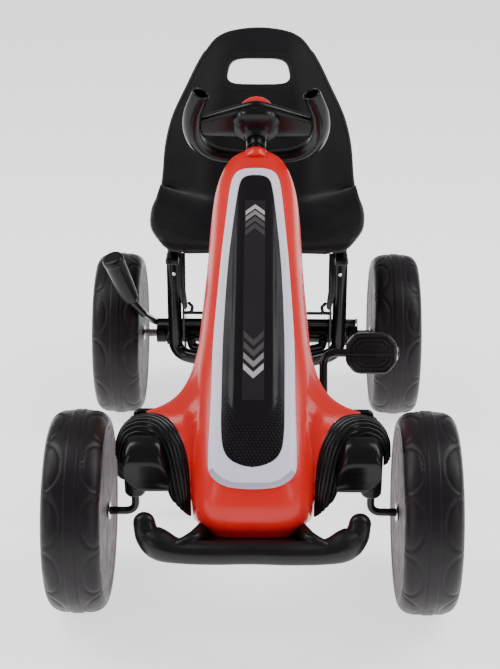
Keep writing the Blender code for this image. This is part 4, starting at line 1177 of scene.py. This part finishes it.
def cover_depth(radius, angle, outside):
    """How far the wheel's side face is set in: a rim, a dish, and raised spokes round the hub."""
    rim, dish, spoke_end, spoke_start, boss = 0.1035, 0.082, 0.079, 0.016, 0.019
    depth = 0.0
    if radius < rim:
        depth += 0.0012 * min((rim - radius) / 0.003, 1)
    if radius < dish:
        depth += (0.0030 if outside else 0.0010) * min((dish - radius) / 0.006, 1)
    if spoke_start < radius < spoke_end:
        turn = (angle / (2 * math.pi) * SPOKES + 0.5) % 1 - 0.5
        near = turn * 2 * math.pi / SPOKES * radius
        width = 0.0050 + 0.0030 * (radius / spoke_end)
        spoke = 1 / (1 + math.exp((abs(near) - width) / 0.0009))
        ends = min((radius - spoke_start) / 0.003, 1) * min((spoke_end - radius) / 0.004, 1)
        depth -= (0.0026 if outside else 0.0009) * spoke * max(ends, 0)
    if radius < boss:
        depth -= (0.0030 if outside else 0.0006) * min((boss - radius) / 0.003, 1)
    return max(depth, 0.0)


def make_wheel(end, side, word, y, body):
    """Foam tyre, the covers moulded into its sides in foam painted a lighter grey as a sheen, and the cap
    on its axle.
    """
    centre = Vector((side * WHEEL_X, y, WHEEL_R))
    tilt = {"front": 0.10, "rear": 0.34}[end]
    make_tyre(f"{end}_tread_{word}", centre, side, body, f"{end}_tyre_{word}", tilt)
    around = 120
    radii = [0.0064, 0.0100, 0.0140, 0.0165, 0.0178, 0.0190, 0.0215, 0.026, 0.034, 0.044, 0.056, 0.066,
             0.0740, 0.0765, 0.0790, 0.0805, 0.0820, 0.0860, 0.0950, 0.1005, 0.1020, 0.1035, 0.1055,
             0.1080, 0.1095]
    rows = []
    for out in (1, -1):
        line = radii if out == 1 else list(reversed(radii))
        for radius in line:
            row = []
            for step in range(around):
                angle = 2 * math.pi * step / around
                edge = 0.0008 * max((radius - 0.1080) / 0.0015, 0) ** 2
                level = TYRE_HALF - edge - cover_depth(radius, angle, out == 1)
                row.append(
                    centre
                    + Vector((side * out * level, radius * math.cos(angle), radius * math.sin(angle)))
                )
            rows.append(row)
    cover = surface(f"{end}_cover_{word}", rows, ring=True, closed=True, sharp=45)
    # The covers are the same foam painted lighter: a painted sheen of side light.
    dress(cover, FOAM_PAINTED_SHEEN, body, f"{end}_hub_{word}")
    cap = lathe(
        f"{end}_cap_{word}",
        (
            (0.0000, 0.0390), (0.0060, 0.0386), (0.0100, 0.0372), (0.0135, 0.0348),
            (0.0150, 0.0325), (0.0150, 0.0319), (0.0000, 0.0319),
        ),
        centre, (side, 0, 0), 40,
    )
    dress(cap, SATIN, body, f"{end}_hub_cap_{word}")
    washer = lathe(
        f"{end}_washer_{word}",
        ((0.0064, -0.0378), (0.0105, -0.0378), (0.0118, -0.0366), (0.0064, -0.0355)),
        centre, (side, 0, 0), 32, closed=True, soft=0.0003,
    )
    dress(washer, BRIGHT, body)


# --- steering -----------------------------------------------------------------------------------


def wheel_point(x, up, out):
    """A point given across, up and out along the steering wheel's own directions."""
    return SHAFT_TOP + Vector((x, 0, 0)) + WHEEL_UP * up + SHAFT_DIR * out


def oval(centre_up, out, wide, tall, power):
    """A ring across the steering column: a rounded block, a little wider at its top."""
    row = []
    for c, s in turns(64):
        c, s = signed_power(c, 2 / power), signed_power(s, 2 / power)
        lean = 1 + 0.05 * s * (power - 2)
        row.append(wheel_point(wide * c * lean, centre_up + tall * s, out))
    return row


def make_steering_wheel():
    rows = [
        oval(centre_up, out, wide, tall, power)
        for centre_up, out, wide, tall, power in (
            (0.0000, -0.0290, 0.0130, 0.0130, 2.0), (0.0000, -0.0280, 0.0138, 0.0138, 2.0),
            (0.0002, -0.0150, 0.0142, 0.0142, 2.0), (0.0020, -0.0105, 0.0175, 0.0165, 2.2),
            (0.0070, -0.0085, 0.0245, 0.0220, 2.6), (0.0115, -0.0065, 0.0300, 0.0265, 2.9),
            (0.0135, -0.0030, 0.0322, 0.0288, 3.0), (0.0135, 0.0020, 0.0328, 0.0300, 3.0),
            (0.0110, 0.0100, 0.0325, 0.0305, 2.8), (0.0060, 0.0190, 0.0310, 0.0295, 2.4),
            (0.0020, 0.0250, 0.0296, 0.0286, 2.1), (0.0005, 0.0262, 0.0290, 0.0282, 2.0),
            (0.0000, 0.0300, 0.0286, 0.0278, 2.0), (0.0000, 0.0314, 0.0272, 0.0266, 2.0),
            (0.0000, 0.0320, 0.0240, 0.0236, 2.0), (0.0000, 0.0321, 0.0100, 0.0100, 2.0),
        )
    ]
    hub = surface("steering_hub", rows, ring=True, caps=True, sharp=30)
    dress(hub, GLOSS, "steering", "steering_wheel")

    # Wing from grip to grip, with a thicker upper edge
    rows = []
    reach = 0.0890
    for step in range(61):
        x = reach * (-1 + 2 * step / 60)
        share = abs(x) / reach
        high = 0.0500 - 0.0335 * math.hypot(share, 0.13)
        low = -0.0165 + 0.0030 * share
        deep = 0.0082 - 0.0030 * share
        row = []
        for c, s in turns(32):
            c, s = signed_power(c, 0.72), signed_power(s, 0.72)
            up = (high + low) / 2 + (high - low) / 2 * s
            lip = 0.0035 * max(s, 0) ** 3
            row.append(wheel_point(x, up, 0.0050 + 0.22 * max(up, 0) + (deep + lip) * c))
        rows.append(row)
    wing = surface("steering_wing", rows, ring=True, caps=True, sharp=50)
    dress(wing, GLOSS, "steering")

    # Both grips and the lower rim, as one tube with open ends
    half = (
        (0.0760, 0.0640, 0.0150, 0.0124), (0.0820, 0.0500, 0.0106, 0.0126),
        (0.0880, 0.0330, 0.0058, 0.0128), (0.0900, 0.0150, 0.0022, 0.0130),
        (0.0885, -0.0030, 0.0004, 0.0128), (0.0830, -0.0220, 0.0, 0.0122),
        (0.0710, -0.0390, 0.0, 0.0116), (0.0530, -0.0500, 0.0, 0.0108), (0.0280, -0.0550, 0.0, 0.0102),
    )
    knots = [(-x, up, out, r) for x, up, out, r in half] + [(0, -0.0562, 0.0, 0.0100)]
    knots += list(reversed(half))
    line = smooth_line(knots, 6)
    path = [wheel_point(x, up, out) for x, up, out, _ in line]
    rows = sweep_rows(path, [(r, r) for _, _, _, r in line], 32, SHAFT_DIR)

    def open_end(order):
        """Rings over the rim of an open end and some way back inside it."""
        spots, rings = (path, rows) if order > 0 else (path[::-1], rows[::-1])
        tip = (spots[0] - spots[1]).normalized()
        made = []
        for back in range(12, 0, -1):
            made.append([spots[back] + (p - spots[back]) * 0.78 for p in rings[back]])
        for size, reach in ((0.79, 0.0002), (0.83, 0.0009), (0.90, 0.0013), (0.97, 0.0008)):
            made.append([spots[0] + (p - spots[0]) * size + tip * reach for p in rings[0]])
        return made

    left_end, right_end = open_end(1), open_end(-1)
    ring = surface("steering_rim", left_end + rows + right_end[::-1], ring=True, caps=True, sharp=42)
    dress(ring, GLOSS, "steering")

    base = 0.0320 + 0.0004
    cap = lathe(
        "steering_cap",
        (
            (0.0000, base + 0.0222), (0.0070, base + 0.0218), (0.0130, base + 0.0204),
            (0.0185, base + 0.0176), (0.0222, base + 0.0136), (0.0242, base + 0.0082),
            (0.0248, base + 0.0020), (0.0248, base), (0.0000, base),
        ),
        wheel_point(0, 0, 0), SHAFT_DIR, 64,
    )
    dress(cap, RED, "steering", "steering_wheel_cap")


def make_steering():
    make_steering_wheel()
    foot_dir = Vector((0, SHAFT_DIR.z, -SHAFT_DIR.y))
    path = rounded_path((SHAFT_FOOT + foot_dir * 0.046, SHAFT_FOOT, wheel_point(0, 0, -0.012)), 0.012, 10)
    count = len(path)
    sizes = [(0.0040, 0.0040)] + [(0.0058, 0.0058)] * 2 + [(SHAFT_R, SHAFT_R)] * (count - 3)
    shaft = sweep("steering_rod", path, sizes, 24)
    dress(shaft, ZINC, "steering", "steering_shaft", slot="black_steel")
    bush = lathe(
        "steering_collar",
        ((0.0092, 0.0080), (0.0092, -0.0100), (SHAFT_R + 0.0008, -0.0100), (SHAFT_R + 0.0008, 0.0080)),
        wheel_point(0, 0, -0.042), SHAFT_DIR, 40, closed=True,
    )
    dress(bush, SATIN, "chassis", "column_bush")
    for side, word in SIDES:
        x = side * KINGPIN_X
        path = rounded_path(
            (
                (x, FRONT_Y, ARM_Z + 0.007), (x, FRONT_Y, WHEEL_R),
                (side * (WHEEL_X + 0.030), FRONT_Y, WHEEL_R),
            ),
            0.014, 10,
        )
        stub = sweep(f"knuckle_rod_{word}", path, 0.005, 20)
        dress(stub, STEEL, f"knuckle_{word}", f"stub_axle_{word}")
        nut = bolt_head(0.0068, 0.0020, at((x, FRONT_Y, ARM_Z + 0.0041)))
        nut.name = f"kingpin_nut_{word}"
        dress(nut, ZINC, f"knuckle_{word}")
    y = FRONT_Y + ARM_LENGTH
    halves = []
    for side, word in SIDES:
        path = rounded_path(
            ((side * KINGPIN_X, y, ARM_Z - 0.004), (side * KINGPIN_X, y, TIE_Z), (side * 0.0130, y, TIE_Z)),
            0.006, 8,
        )
        halves.append(sweep(f"tie_half_{word}", path, 0.004, 18))
    outline = (
        (-0.022, -0.009), (-0.016, -0.015), (0.016, -0.015), (0.022, -0.009),
        (0.022, 0.009), (0.016, 0.015), (-0.016, 0.015), (-0.022, 0.009),
    )
    plate = prism("tie_plate", outline, 0.004, at((0, y, TIE_Z)), 0.0006)
    drill(plate, 0.0095, -0.02, 0.02, (0, y, TIE_Z), (0, 0, 1), 32)
    rod = combine("tie_rod_bar", [*halves, plate], 32)
    dress(rod, STEEL, "tie_rod", "tie_rod")


# --- frame --------------------------------------------------------------------------------------


def both_sides(half):
    """A path from left to right, from its right half listed outer end first."""
    return [(-x, y, z) for x, y, z in half] + list(reversed(half))


def make_frame():
    beam = sweep("axle_beam", ((-KINGPIN_X, FRONT_Y, BEAM_Z), (KINGPIN_X, FRONT_Y, BEAM_Z)), 0.0125, 32)
    sleeves = [
        lathe(
            f"sleeve_{word}",
            ((0.0105, SLEEVE_TOP), (0.0105, 0.166), (0.0060, 0.166), (0.0060, SLEEVE_TOP)),
            (side * KINGPIN_X, FRONT_Y, 0), (0, 0, 1), 32, closed=True,
        )
        for side, word in SIDES
    ]
    dress(combine("axle_beam", [beam, *sleeves], 35), STEEL, "chassis", "front_axle_beam")
    path = rounded_path(
        (
            (0, front(0.0129), BEAM_Z), (0, front(0.050), 0.190), (0, front(0.140), 0.117),
            (0, REAR_Y - 0.0154, 0.125),
        ),
        0.08, 14,
    )
    spine = sweep("spine_tube", path, 0.014, 32)
    dress(spine, STEEL, "chassis", "main_spine")
    saddle = rounded_box("spine_saddle", (0.024, 0.070, 0.026), at((0, COLUMN_Y - 0.076, 0.1065)), 0.002, 3)
    dress(saddle, STEEL, "chassis")

    low = 0.082
    half = (
        (COLUMN_X, COLUMN_Y - 0.006, COLUMN_TOP), (COLUMN_X, COLUMN_Y, 0.112),
        (0.080, COLUMN_Y - 0.024, 0.110), (0.050, COLUMN_Y - 0.062, low),
    )
    hoop = sweep("column_hoop", rounded_path(both_sides(half), 0.026, 12), 0.011, 28)
    dress(hoop, STEEL, "chassis", "seat_hoop")
    half = (
        (0.1065, COLUMN_Y + 0.0135, 0.128), (0.1040, COLUMN_Y + 0.0100, 0.119),
        (0.0820, COLUMN_Y + 0.0020, 0.117), (0.0420, COLUMN_Y - 0.0360, low),
    )
    rail = sweep("rear_hoop", rounded_path(both_sides(half), 0.006, 8), 0.0070, 22, dome=True)
    dress(rail, STEEL, "chassis", "rear_rail")

    for side, word in SIDES:
        bolts = [
            bolt_head(
                0.0028, 0.0020, at((side * (COLUMN_X - 0.001), COLUMN_Y - 0.0160, 0.254), (0, -1, 0)), 20
            ),
            bolt_head(0.0048, 0.0024, at((side * 0.1180, REAR_Y - 0.002, 0.1590), (side, 0, 0))),
            bolt_head(0.0048, 0.0024, at((side * 0.1180, REAR_Y + 0.012, 0.1150), (side, 0, 0))),
        ]
        dress(combine(f"column_bolts_{word}", bolts, 25), BRIGHT, "chassis")
        # Plate down the inner face of each column, its foot turned in as an ear for the cross rod
        outline = (
            (0.0000, 0.0505), (-0.0110, 0.0505), (-0.0110, -0.0130), (-0.0125, -0.0260), (-0.0135, -0.0400),
            (-0.0110, -0.0440), (-0.0060, -0.0430), (-0.0030, -0.0300), (0.0000, -0.0180),
        )
        place = Matrix(
            ((side, 0, 0, side * 0.1232), (0, 0, -1, COLUMN_Y - 0.0100), (0, 1, 0, 0.2360), (0, 0, 0, 1))
        )
        plate = prism(f"column_plate_{word}", outline, 0.0028, place, 0.0006)
        dress(plate, STEEL, "chassis")
        hook = sweep(
            f"rod_hook_{word}",
            rounded_path(
                (
                    (side * 0.1140, CROSS_ROD_Y, CROSS_ROD_Z),
                    (side * 0.1050, CROSS_ROD_Y, CROSS_ROD_Z + 0.001),
                    (side * 0.1030, CROSS_ROD_Y, CROSS_ROD_Z + 0.0110),
                    (side * 0.1085, CROSS_ROD_Y, CROSS_ROD_Z + 0.0165),
                ),
                0.0045, 6,
            ),
            0.0026, 14, dome=True,
        )
        dress(hook, STEEL, "chassis")
        bush = lathe(
            f"axle_end_{word}",
            (
                (0.0155, 0.0150), (0.0155, 0.0004), (0.0100, 0.0004), (0.0100, -0.0140),
                (0.0065, -0.0140), (0.0065, 0.0150),
            ),
            (side * HOUSING_END, REAR_Y, WHEEL_R), (side, 0, 0), 40, closed=True,
        )
        dress(bush, SATIN, "chassis", f"rear_bush_{word}")
        flange = rounded_box(
            f"axle_end_block_{word}", (0.0125, 0.0300, 0.0300),
            at((side * (HOUSING_END - 0.0078), REAR_Y, WHEEL_R)), 0.0026, 3,
        )
        dress(flange, SATIN, "chassis")
    # The axle's housing has a gap for the chain
    spans = (("left", -HOUSING_END, CHAIN_X - 0.014), ("right", CHAIN_X + 0.016, HOUSING_END))
    for word, start, end in spans:
        housing = lathe(
            f"axle_tube_{word}",
            ((HOUSING_R, end), (HOUSING_R, start), (0.0105, start), (0.0105, end)),
            (0, REAR_Y, WHEEL_R), (1, 0, 0), 40, closed=True,
        )
        dress(housing, STEEL, "chassis", f"rear_axle_housing_{word}")
    ends = [(x, CROSS_ROD_Y, CROSS_ROD_Z) for x in (-0.1195, 0.1195)]
    cross = sweep("hook_rod", ends, 0.0025, 16)
    dress(cross, STEEL, "chassis", "cross_rod")
    for node in ("axle_bracket_left", "axle_bracket_right", "steering_bracket", "crank_hanger",
                 "steering_arm_left", "steering_arm_right"):
        plain = bpy.data.objects.get(node)
        if plain is not None:
            plain.data.materials.clear()
            plain.data.materials.append(STEEL)


# --- drive --------------------------------------------------------------------------------------


def drive_plane(y, z):
    """The plane of the drive about an axis, its own X along world Y and its own Y along world Z."""
    return Matrix(((0, 0, 1, CHAIN_X), (1, 0, 0, y), (0, 1, 0, z), (0, 0, 0, 1)))


def pedal_centre(side):
    return Vector(
        (
            side * PEDAL_X,
            CRANK_Y + side * CRANK_R * math.cos(CRANK_ANGLE),
            CRANK_Z + side * CRANK_R * math.sin(CRANK_ANGLE),
        )
    )


def chain_line(ring, sprocket, steps=28):
    """The line round both sprockets with its straight runs, from the crank's axis."""
    run = Vector((REAR_Y - CRANK_Y, WHEEL_R - CRANK_Z))
    lean = math.atan2(run.y, run.x)
    spread = math.acos((ring - sprocket) / run.length)
    points = []
    for step in range(steps + 1):
        angle = lean + spread + (2 * math.pi - 2 * spread) * step / steps
        points.append(Vector((ring * math.cos(angle), ring * math.sin(angle))))
    for step in range(steps + 1):
        angle = lean - spread + 2 * spread * step / steps
        points.append(run + Vector((sprocket * math.cos(angle), sprocket * math.sin(angle))))
    return points


def make_sprocket(name, radius, teeth, bore, place, body, node, windows):
    outline = []
    for tooth in range(teeth):
        for part, reach in (
            (0.0, -0.0042), (0.16, -0.0038), (0.28, -0.0022), (0.40, -0.0002), (0.5, 0.0004),
            (0.60, -0.0002), (0.72, -0.0022), (0.84, -0.0038),
        ):
            angle = 2 * math.pi * (tooth + part) / teeth
            size = radius + reach - 0.0006
            outline.append((size * math.cos(angle), size * math.sin(angle)))
    disc = prism(name, outline, 0.003, place, 0.0003, 1)
    holes = [(bore, 0.0, 0.0)]
    for step in range(windows):
        angle = 2 * math.pi * (step + 0.5) / windows
        holes.append((radius * 0.17, radius * 0.56 * math.cos(angle), radius * 0.56 * math.sin(angle)))
    for size, x, y in holes:
        cutter = prism("cutter", circle(size, (x, y), 28), 0.02, place, 0)
        cut_away(disc, cutter)
    dress(disc, ZINC, body, node)


def half_round(pin, start):
    """The round end of a link plate about its pin."""
    angles = (start + math.pi * step / 8 for step in range(9))
    return [(pin.x + 0.0034 * math.cos(angle), pin.y + 0.0034 * math.sin(angle)) for angle in angles]


def make_chain():
    """Link plates and rollers, one pitch apart, round both sprockets."""
    line = chain_line(RING_R + 0.0025, SPROCKET_R + 0.0025, 60)
    line.append(line[0])
    lengths = [0.0]
    for a, b in zip(line, line[1:]):
        lengths.append(lengths[-1] + (b - a).length)
    total = lengths[-1]
    links = 2 * round(total / CHAIN_PITCH / 2)

    def along(distance):
        distance %= total
        for index in range(len(line) - 1):
            if lengths[index + 1] >= distance:
                share = (distance - lengths[index]) / max(lengths[index + 1] - lengths[index], 1e-9)
                return line[index].lerp(line[index + 1], share)
        return line[-1]

    pieces = []
    drive = drive_plane(CRANK_Y, CRANK_Z)
    pins = [along(total * index / links) for index in range(links)]
    for index, pin in enumerate(pins):
        after = pins[(index + 1) % links]
        direction = (after - pin).normalized()
        turn = math.atan2(direction.y, direction.x)
        middle_point = (pin + after) / 2
        down = Vector((direction.y, -direction.x))
        outline = [
            *half_round(pin, turn + math.pi / 2), tuple(middle_point + down * 0.0024),
            *half_round(after, turn - math.pi / 2), tuple(middle_point - down * 0.0024),
        ]
        offset = 0.0021 if index % 2 else 0.0029
        for way in (-1, 1):
            pieces.append(
                prism("link", outline, 0.0007, drive @ Matrix.Translation((0, 0, way * offset)), 0, 1)
            )
        place = drive @ Matrix.Translation((pin.x, pin.y, 0))
        roller = [
            (0.0019, -0.0034), (0.0019, -0.0016), (0.0031, -0.0016), (0.0031, 0.0016),
            (0.0019, 0.0016), (0.0019, 0.0034),
        ]
        rows = [
            [
                place @ Vector((r * math.cos(math.pi * s / 6), r * math.sin(math.pi * s / 6), h))
                for s in range(12)
            ]
            for r, h in roller
        ]
        pieces.append(surface("roller", rows, ring=True, caps=True, sharp=40))
    dress(combine("roller_chain", pieces, 35), ZINC, "chassis", "chain")


def make_chain_guard():
    outer = [tuple(p) for p in chain_line(RING_R + 0.0105, SPROCKET_R + 0.0105, 40)]
    inner = [tuple(p) for p in chain_line(RING_R + 0.0083, SPROCKET_R + 0.0083, 40)]
    start, end = -0.0075, 0.0095
    drive = drive_plane(CRANK_Y, CRANK_Z)
    guard = prism(
        "guard_tray", outer, end - start, drive @ Matrix.Translation((0, 0, (start + end) / 2)),
        0.0026, 4,
    )
    hollow = prism("hollow", inner, 0.030, drive @ Matrix.Translation((0, 0, end - 0.0022 - 0.015)), 0.0)
    cut_away(guard, hollow)
    for size, y, z in ((0.0095, CRANK_Y, CRANK_Z), (0.0160, REAR_Y, WHEEL_R)):
        drill(guard, size, -0.03, 0.03, (CHAIN_X + end, y, z), (1, 0, 0))
    groove = rounded_box(
        "groove", (0.05, 0.024, 0.040), at((CHAIN_X, BRAKE_Y + 0.003, BRAKE_Z + 0.0145)), 0.002, 2
    )
    cut_away(guard, groove)
    dress(guard, SATIN, "chassis", "chain_guard")


def make_pedal(side, word):
    """Moulded pedal: a rounded hexagon with nested ribs in its two halves."""
    place = (
        Matrix.Translation(pedal_centre(side))
        @ Matrix.Rotation(math.radians(-14), 4, "X")
        @ Matrix(((side, 0, 0, 0), (0, 0, -1, 0), (0, 1, 0, 0), (0, 0, 0, 1)))
    )
    outline = [
        (-0.0365, -0.0140), (-0.0250, -0.0275), (-0.0150, -0.0298), (0.0150, -0.0298),
        (0.0250, -0.0275), (0.0365, -0.0140), (0.0365, 0.0140), (0.0250, 0.0275),
        (0.0150, 0.0298), (-0.0150, 0.0298), (-0.0250, 0.0275), (-0.0365, 0.0140),
    ]
    block = prism("pedal_block", outline, 0.0190, place, 0.0040, 4, 45)
    drill(block, 0.0068, -0.05, 0.05, pedal_centre(side), (1, 0, 0), 28)
    dress(block, SATIN, f"pedal_{word}", f"pedal_{word}")
    ribs = []
    for face in (-1, 1):
        for half in (-1, 1):
            for index in range(3):
                shrink = 0.0062 * index
                top = 0.0262 - shrink * 0.86
                wide, foot = 0.0320 - shrink, 0.0036 + 0.0016 * index
                corner = wide - 0.0105 + 0.001 * index
                loop = [
                    (-wide, half * foot), (-wide, half * (foot + (top - foot) * 0.42)),
                    (-corner, half * top), (corner, half * top),
                    (wide, half * (foot + (top - foot) * 0.42)), (wide, half * foot),
                ]
                path = [place @ Vector((x, z, face * 0.0096)) for x, z in loop]
                ribs.append(sweep("rib", rounded_path(path, 0.003, 4), 0.00115, 10, dome=True))
        seam = [place @ Vector((x, 0, face * 0.0094)) for x in (-0.033, 0.033)]
        ribs.append(sweep("rib", seam, 0.0016, 12, dome=True))
    dress(combine(f"pedal_ribs_{word}", ribs, 50), SATIN, f"pedal_{word}")
    tab = rounded_box(
        "tab", (0.0022, 0.0190, 0.0120), place @ Matrix.Translation((0.0372, 0, 0)), 0.0008, 2
    )
    dress(combine(f"pedal_end_{word}", [tab], 35), ZINC, f"pedal_{word}")
    # Two small white patches on the left pedal, where its bolts show glints: painted highlights.
    if side == LEFT:
        painted_glints = [
            rounded_box(
                "painted_glint", (0.0090, 0.0065, 0.0016),
                place @ Matrix.Translation((-0.0290, way * 0.0215, -0.0100)), 0.0007, 2,
            )
            for way in (-1, 1)
        ]
        dress(combine(f"pedal_painted_glints_{word}", painted_glints, 35), WHITE, f"pedal_{word}")


def make_drive():
    ends = {side: pedal_centre(side) for side, _ in SIDES}
    path = rounded_path(
        (
            (-PEDAL_X - 0.040, ends[LEFT].y, ends[LEFT].z), (-0.098, ends[LEFT].y, ends[LEFT].z),
            (-0.098, CRANK_Y, CRANK_Z), (0.098, CRANK_Y, CRANK_Z),
            (0.098, ends[RIGHT].y, ends[RIGHT].z), (PEDAL_X + 0.040, ends[RIGHT].y, ends[RIGHT].z),
        ),
        0.020, 14,
    )
    dress(sweep("crank_rod", path, CRANK_ROD_R, 24), STEEL, "crank", "crankshaft")
    ring = drive_plane(CRANK_Y, CRANK_Z)
    make_sprocket("drive_ring", RING_R, RING_TEETH, 0.0064, ring, "crank", "chainring", 5)
    rear = drive_plane(REAR_Y, WHEEL_R)
    make_sprocket("axle_ring", SPROCKET_R, SPROCKET_TEETH, 0.0064, rear, "rear_axle", "rear_sprocket", 0)
    make_chain()
    make_chain_guard()
    for side, word in SIDES:
        make_pedal(side, word)
    reach = WHEEL_X + 0.030
    axle = sweep("axle_rod", ((-reach, REAR_Y, WHEEL_R), (reach, REAR_Y, WHEEL_R)), AXLE_R, 28)
    dress(axle, ZINC, "rear_axle", "rear_axle")

    path = rounded_path(
        (
            (0.158, BRAKE_Y, BRAKE_Z), (CHAIN_X + 0.027, BRAKE_Y, BRAKE_Z),
            (CHAIN_X + 0.016, BRAKE_Y, BRAKE_Z + 0.0105), (CHAIN_X - 0.016, BRAKE_Y, BRAKE_Z + 0.0105),
            (CHAIN_X - 0.027, BRAKE_Y, BRAKE_Z), (-0.163, BRAKE_Y, BRAKE_Z),
            (-0.1760, front(0.490), 0.202), (-0.1915, front(0.4705), 0.2305),
        ),
        0.008, 8,
    )
    dress(sweep("brake_rod", path, 0.0055, 22), STEEL, "brake", "brake_lever")
    nub = bolt_head(0.0066, 0.0034, at((0.158, BRAKE_Y, BRAKE_Z), (1, 0, 0)), 20)
    dress(nub, BRIGHT, "brake")
    grip = lathe(
        "brake_handle",
        (
            (0.0000, 0.0862), (0.0110, 0.0862), (0.0148, 0.0850), (0.0165, 0.0815), (0.0165, 0.0762),
            (0.0157, 0.0738), (0.0157, 0.0715), (0.0152, 0.0560), (0.0145, 0.0330), (0.0133, 0.0120),
            (0.0122, 0.0030), (0.0104, 0.0000), (0.0000, 0.0000),
        ),
        (-0.1925, front(0.4697), 0.2335), Vector((-0.29, -0.29, 0.92)).normalized(), 48,
    )
    dress(grip, SATIN, "brake", "brake_grip")


# --- the picture --------------------------------------------------------------------------------


def make_camera():
    """The view of a tall product picture: a little above the hood, and almost straight on."""
    data = bpy.data.cameras.new("product_camera")
    data.sensor_fit = "VERTICAL"
    data.sensor_height = 36
    data.lens = 83.2
    data.clip_end = 60
    camera = bpy.data.objects.new("product_camera", data)
    bpy.context.scene.collection.objects.link(camera)
    turn, tilt = math.radians(0.77), math.radians(-23.0)
    aim = Vector((-math.sin(turn) * math.cos(tilt), math.cos(turn) * math.cos(tilt), math.sin(tilt)))
    camera.location = (0.0195, front(-1.7342), 1.1121)
    camera.rotation_euler = aim.to_track_quat("-Z", "Y").to_euler()
    bpy.context.scene.camera = camera


def area_light(name, place, target, size, power):
    data = bpy.data.lights.new(name, "AREA")
    data.shape = "RECTANGLE"
    data.size, data.size_y = size
    data.energy = power
    lamp = bpy.data.objects.new(name, data)
    lamp.location = place
    lamp.rotation_euler = (Vector(target) - Vector(place)).to_track_quat("-Z", "Y").to_euler()
    bpy.context.scene.collection.objects.link(lamp)


def make_studio():
    """A pale floor, and on each side a high soft box and a smaller one in front."""
    finish = bpy.data.materials.new("studio_floor")
    finish.use_nodes = True
    set_inputs(
        finish.node_tree.nodes["Principled BSDF"],
        {
            "Base Color": (0.97, 0.97, 0.972, 1), "Roughness": 0.75, "Specular IOR Level": 0.1,
            "Emission Color": (1, 1, 1, 1), "Emission Strength": 1.3,
        },
    )
    floor = mesh_object(
        "studio_floor", [(-30, -30, 0), (30, -30, 0), (30, 30, 0), (-30, 30, 0)], [(0, 1, 2, 3)]
    )
    floor.data.materials.append(finish)
    world = bpy.data.worlds.new("studio")
    world.use_nodes = True
    set_inputs(world.node_tree.nodes["Background"], {"Color": (1.0, 1.0, 1.0, 1), "Strength": 0.34})
    bpy.context.scene.world = world
    for side, word in SIDES:
        area_light(f"side_{word}", (side * 1.7, 0.1, 2.0), (0, 0, 0.25), (0.7, 2.4), 38)
        area_light(f"front_{word}", (side * 2.0, -1.9, 1.2), (0, -0.1, 0.3), (0.5, 1.2), 8)


make_hood()
make_trim()
make_panel()
make_grille()
make_stickers()
for side, word in SIDES:
    make_fender(side, word)
make_bumper()
make_seat()
for side, word in SIDES:
    make_wheel("front", side, word, FRONT_Y, f"front_wheel_{word}")
    make_wheel("rear", side, word, REAR_Y, "rear_axle")
make_steering()
make_frame()
make_drive()
make_studio()
make_camera()
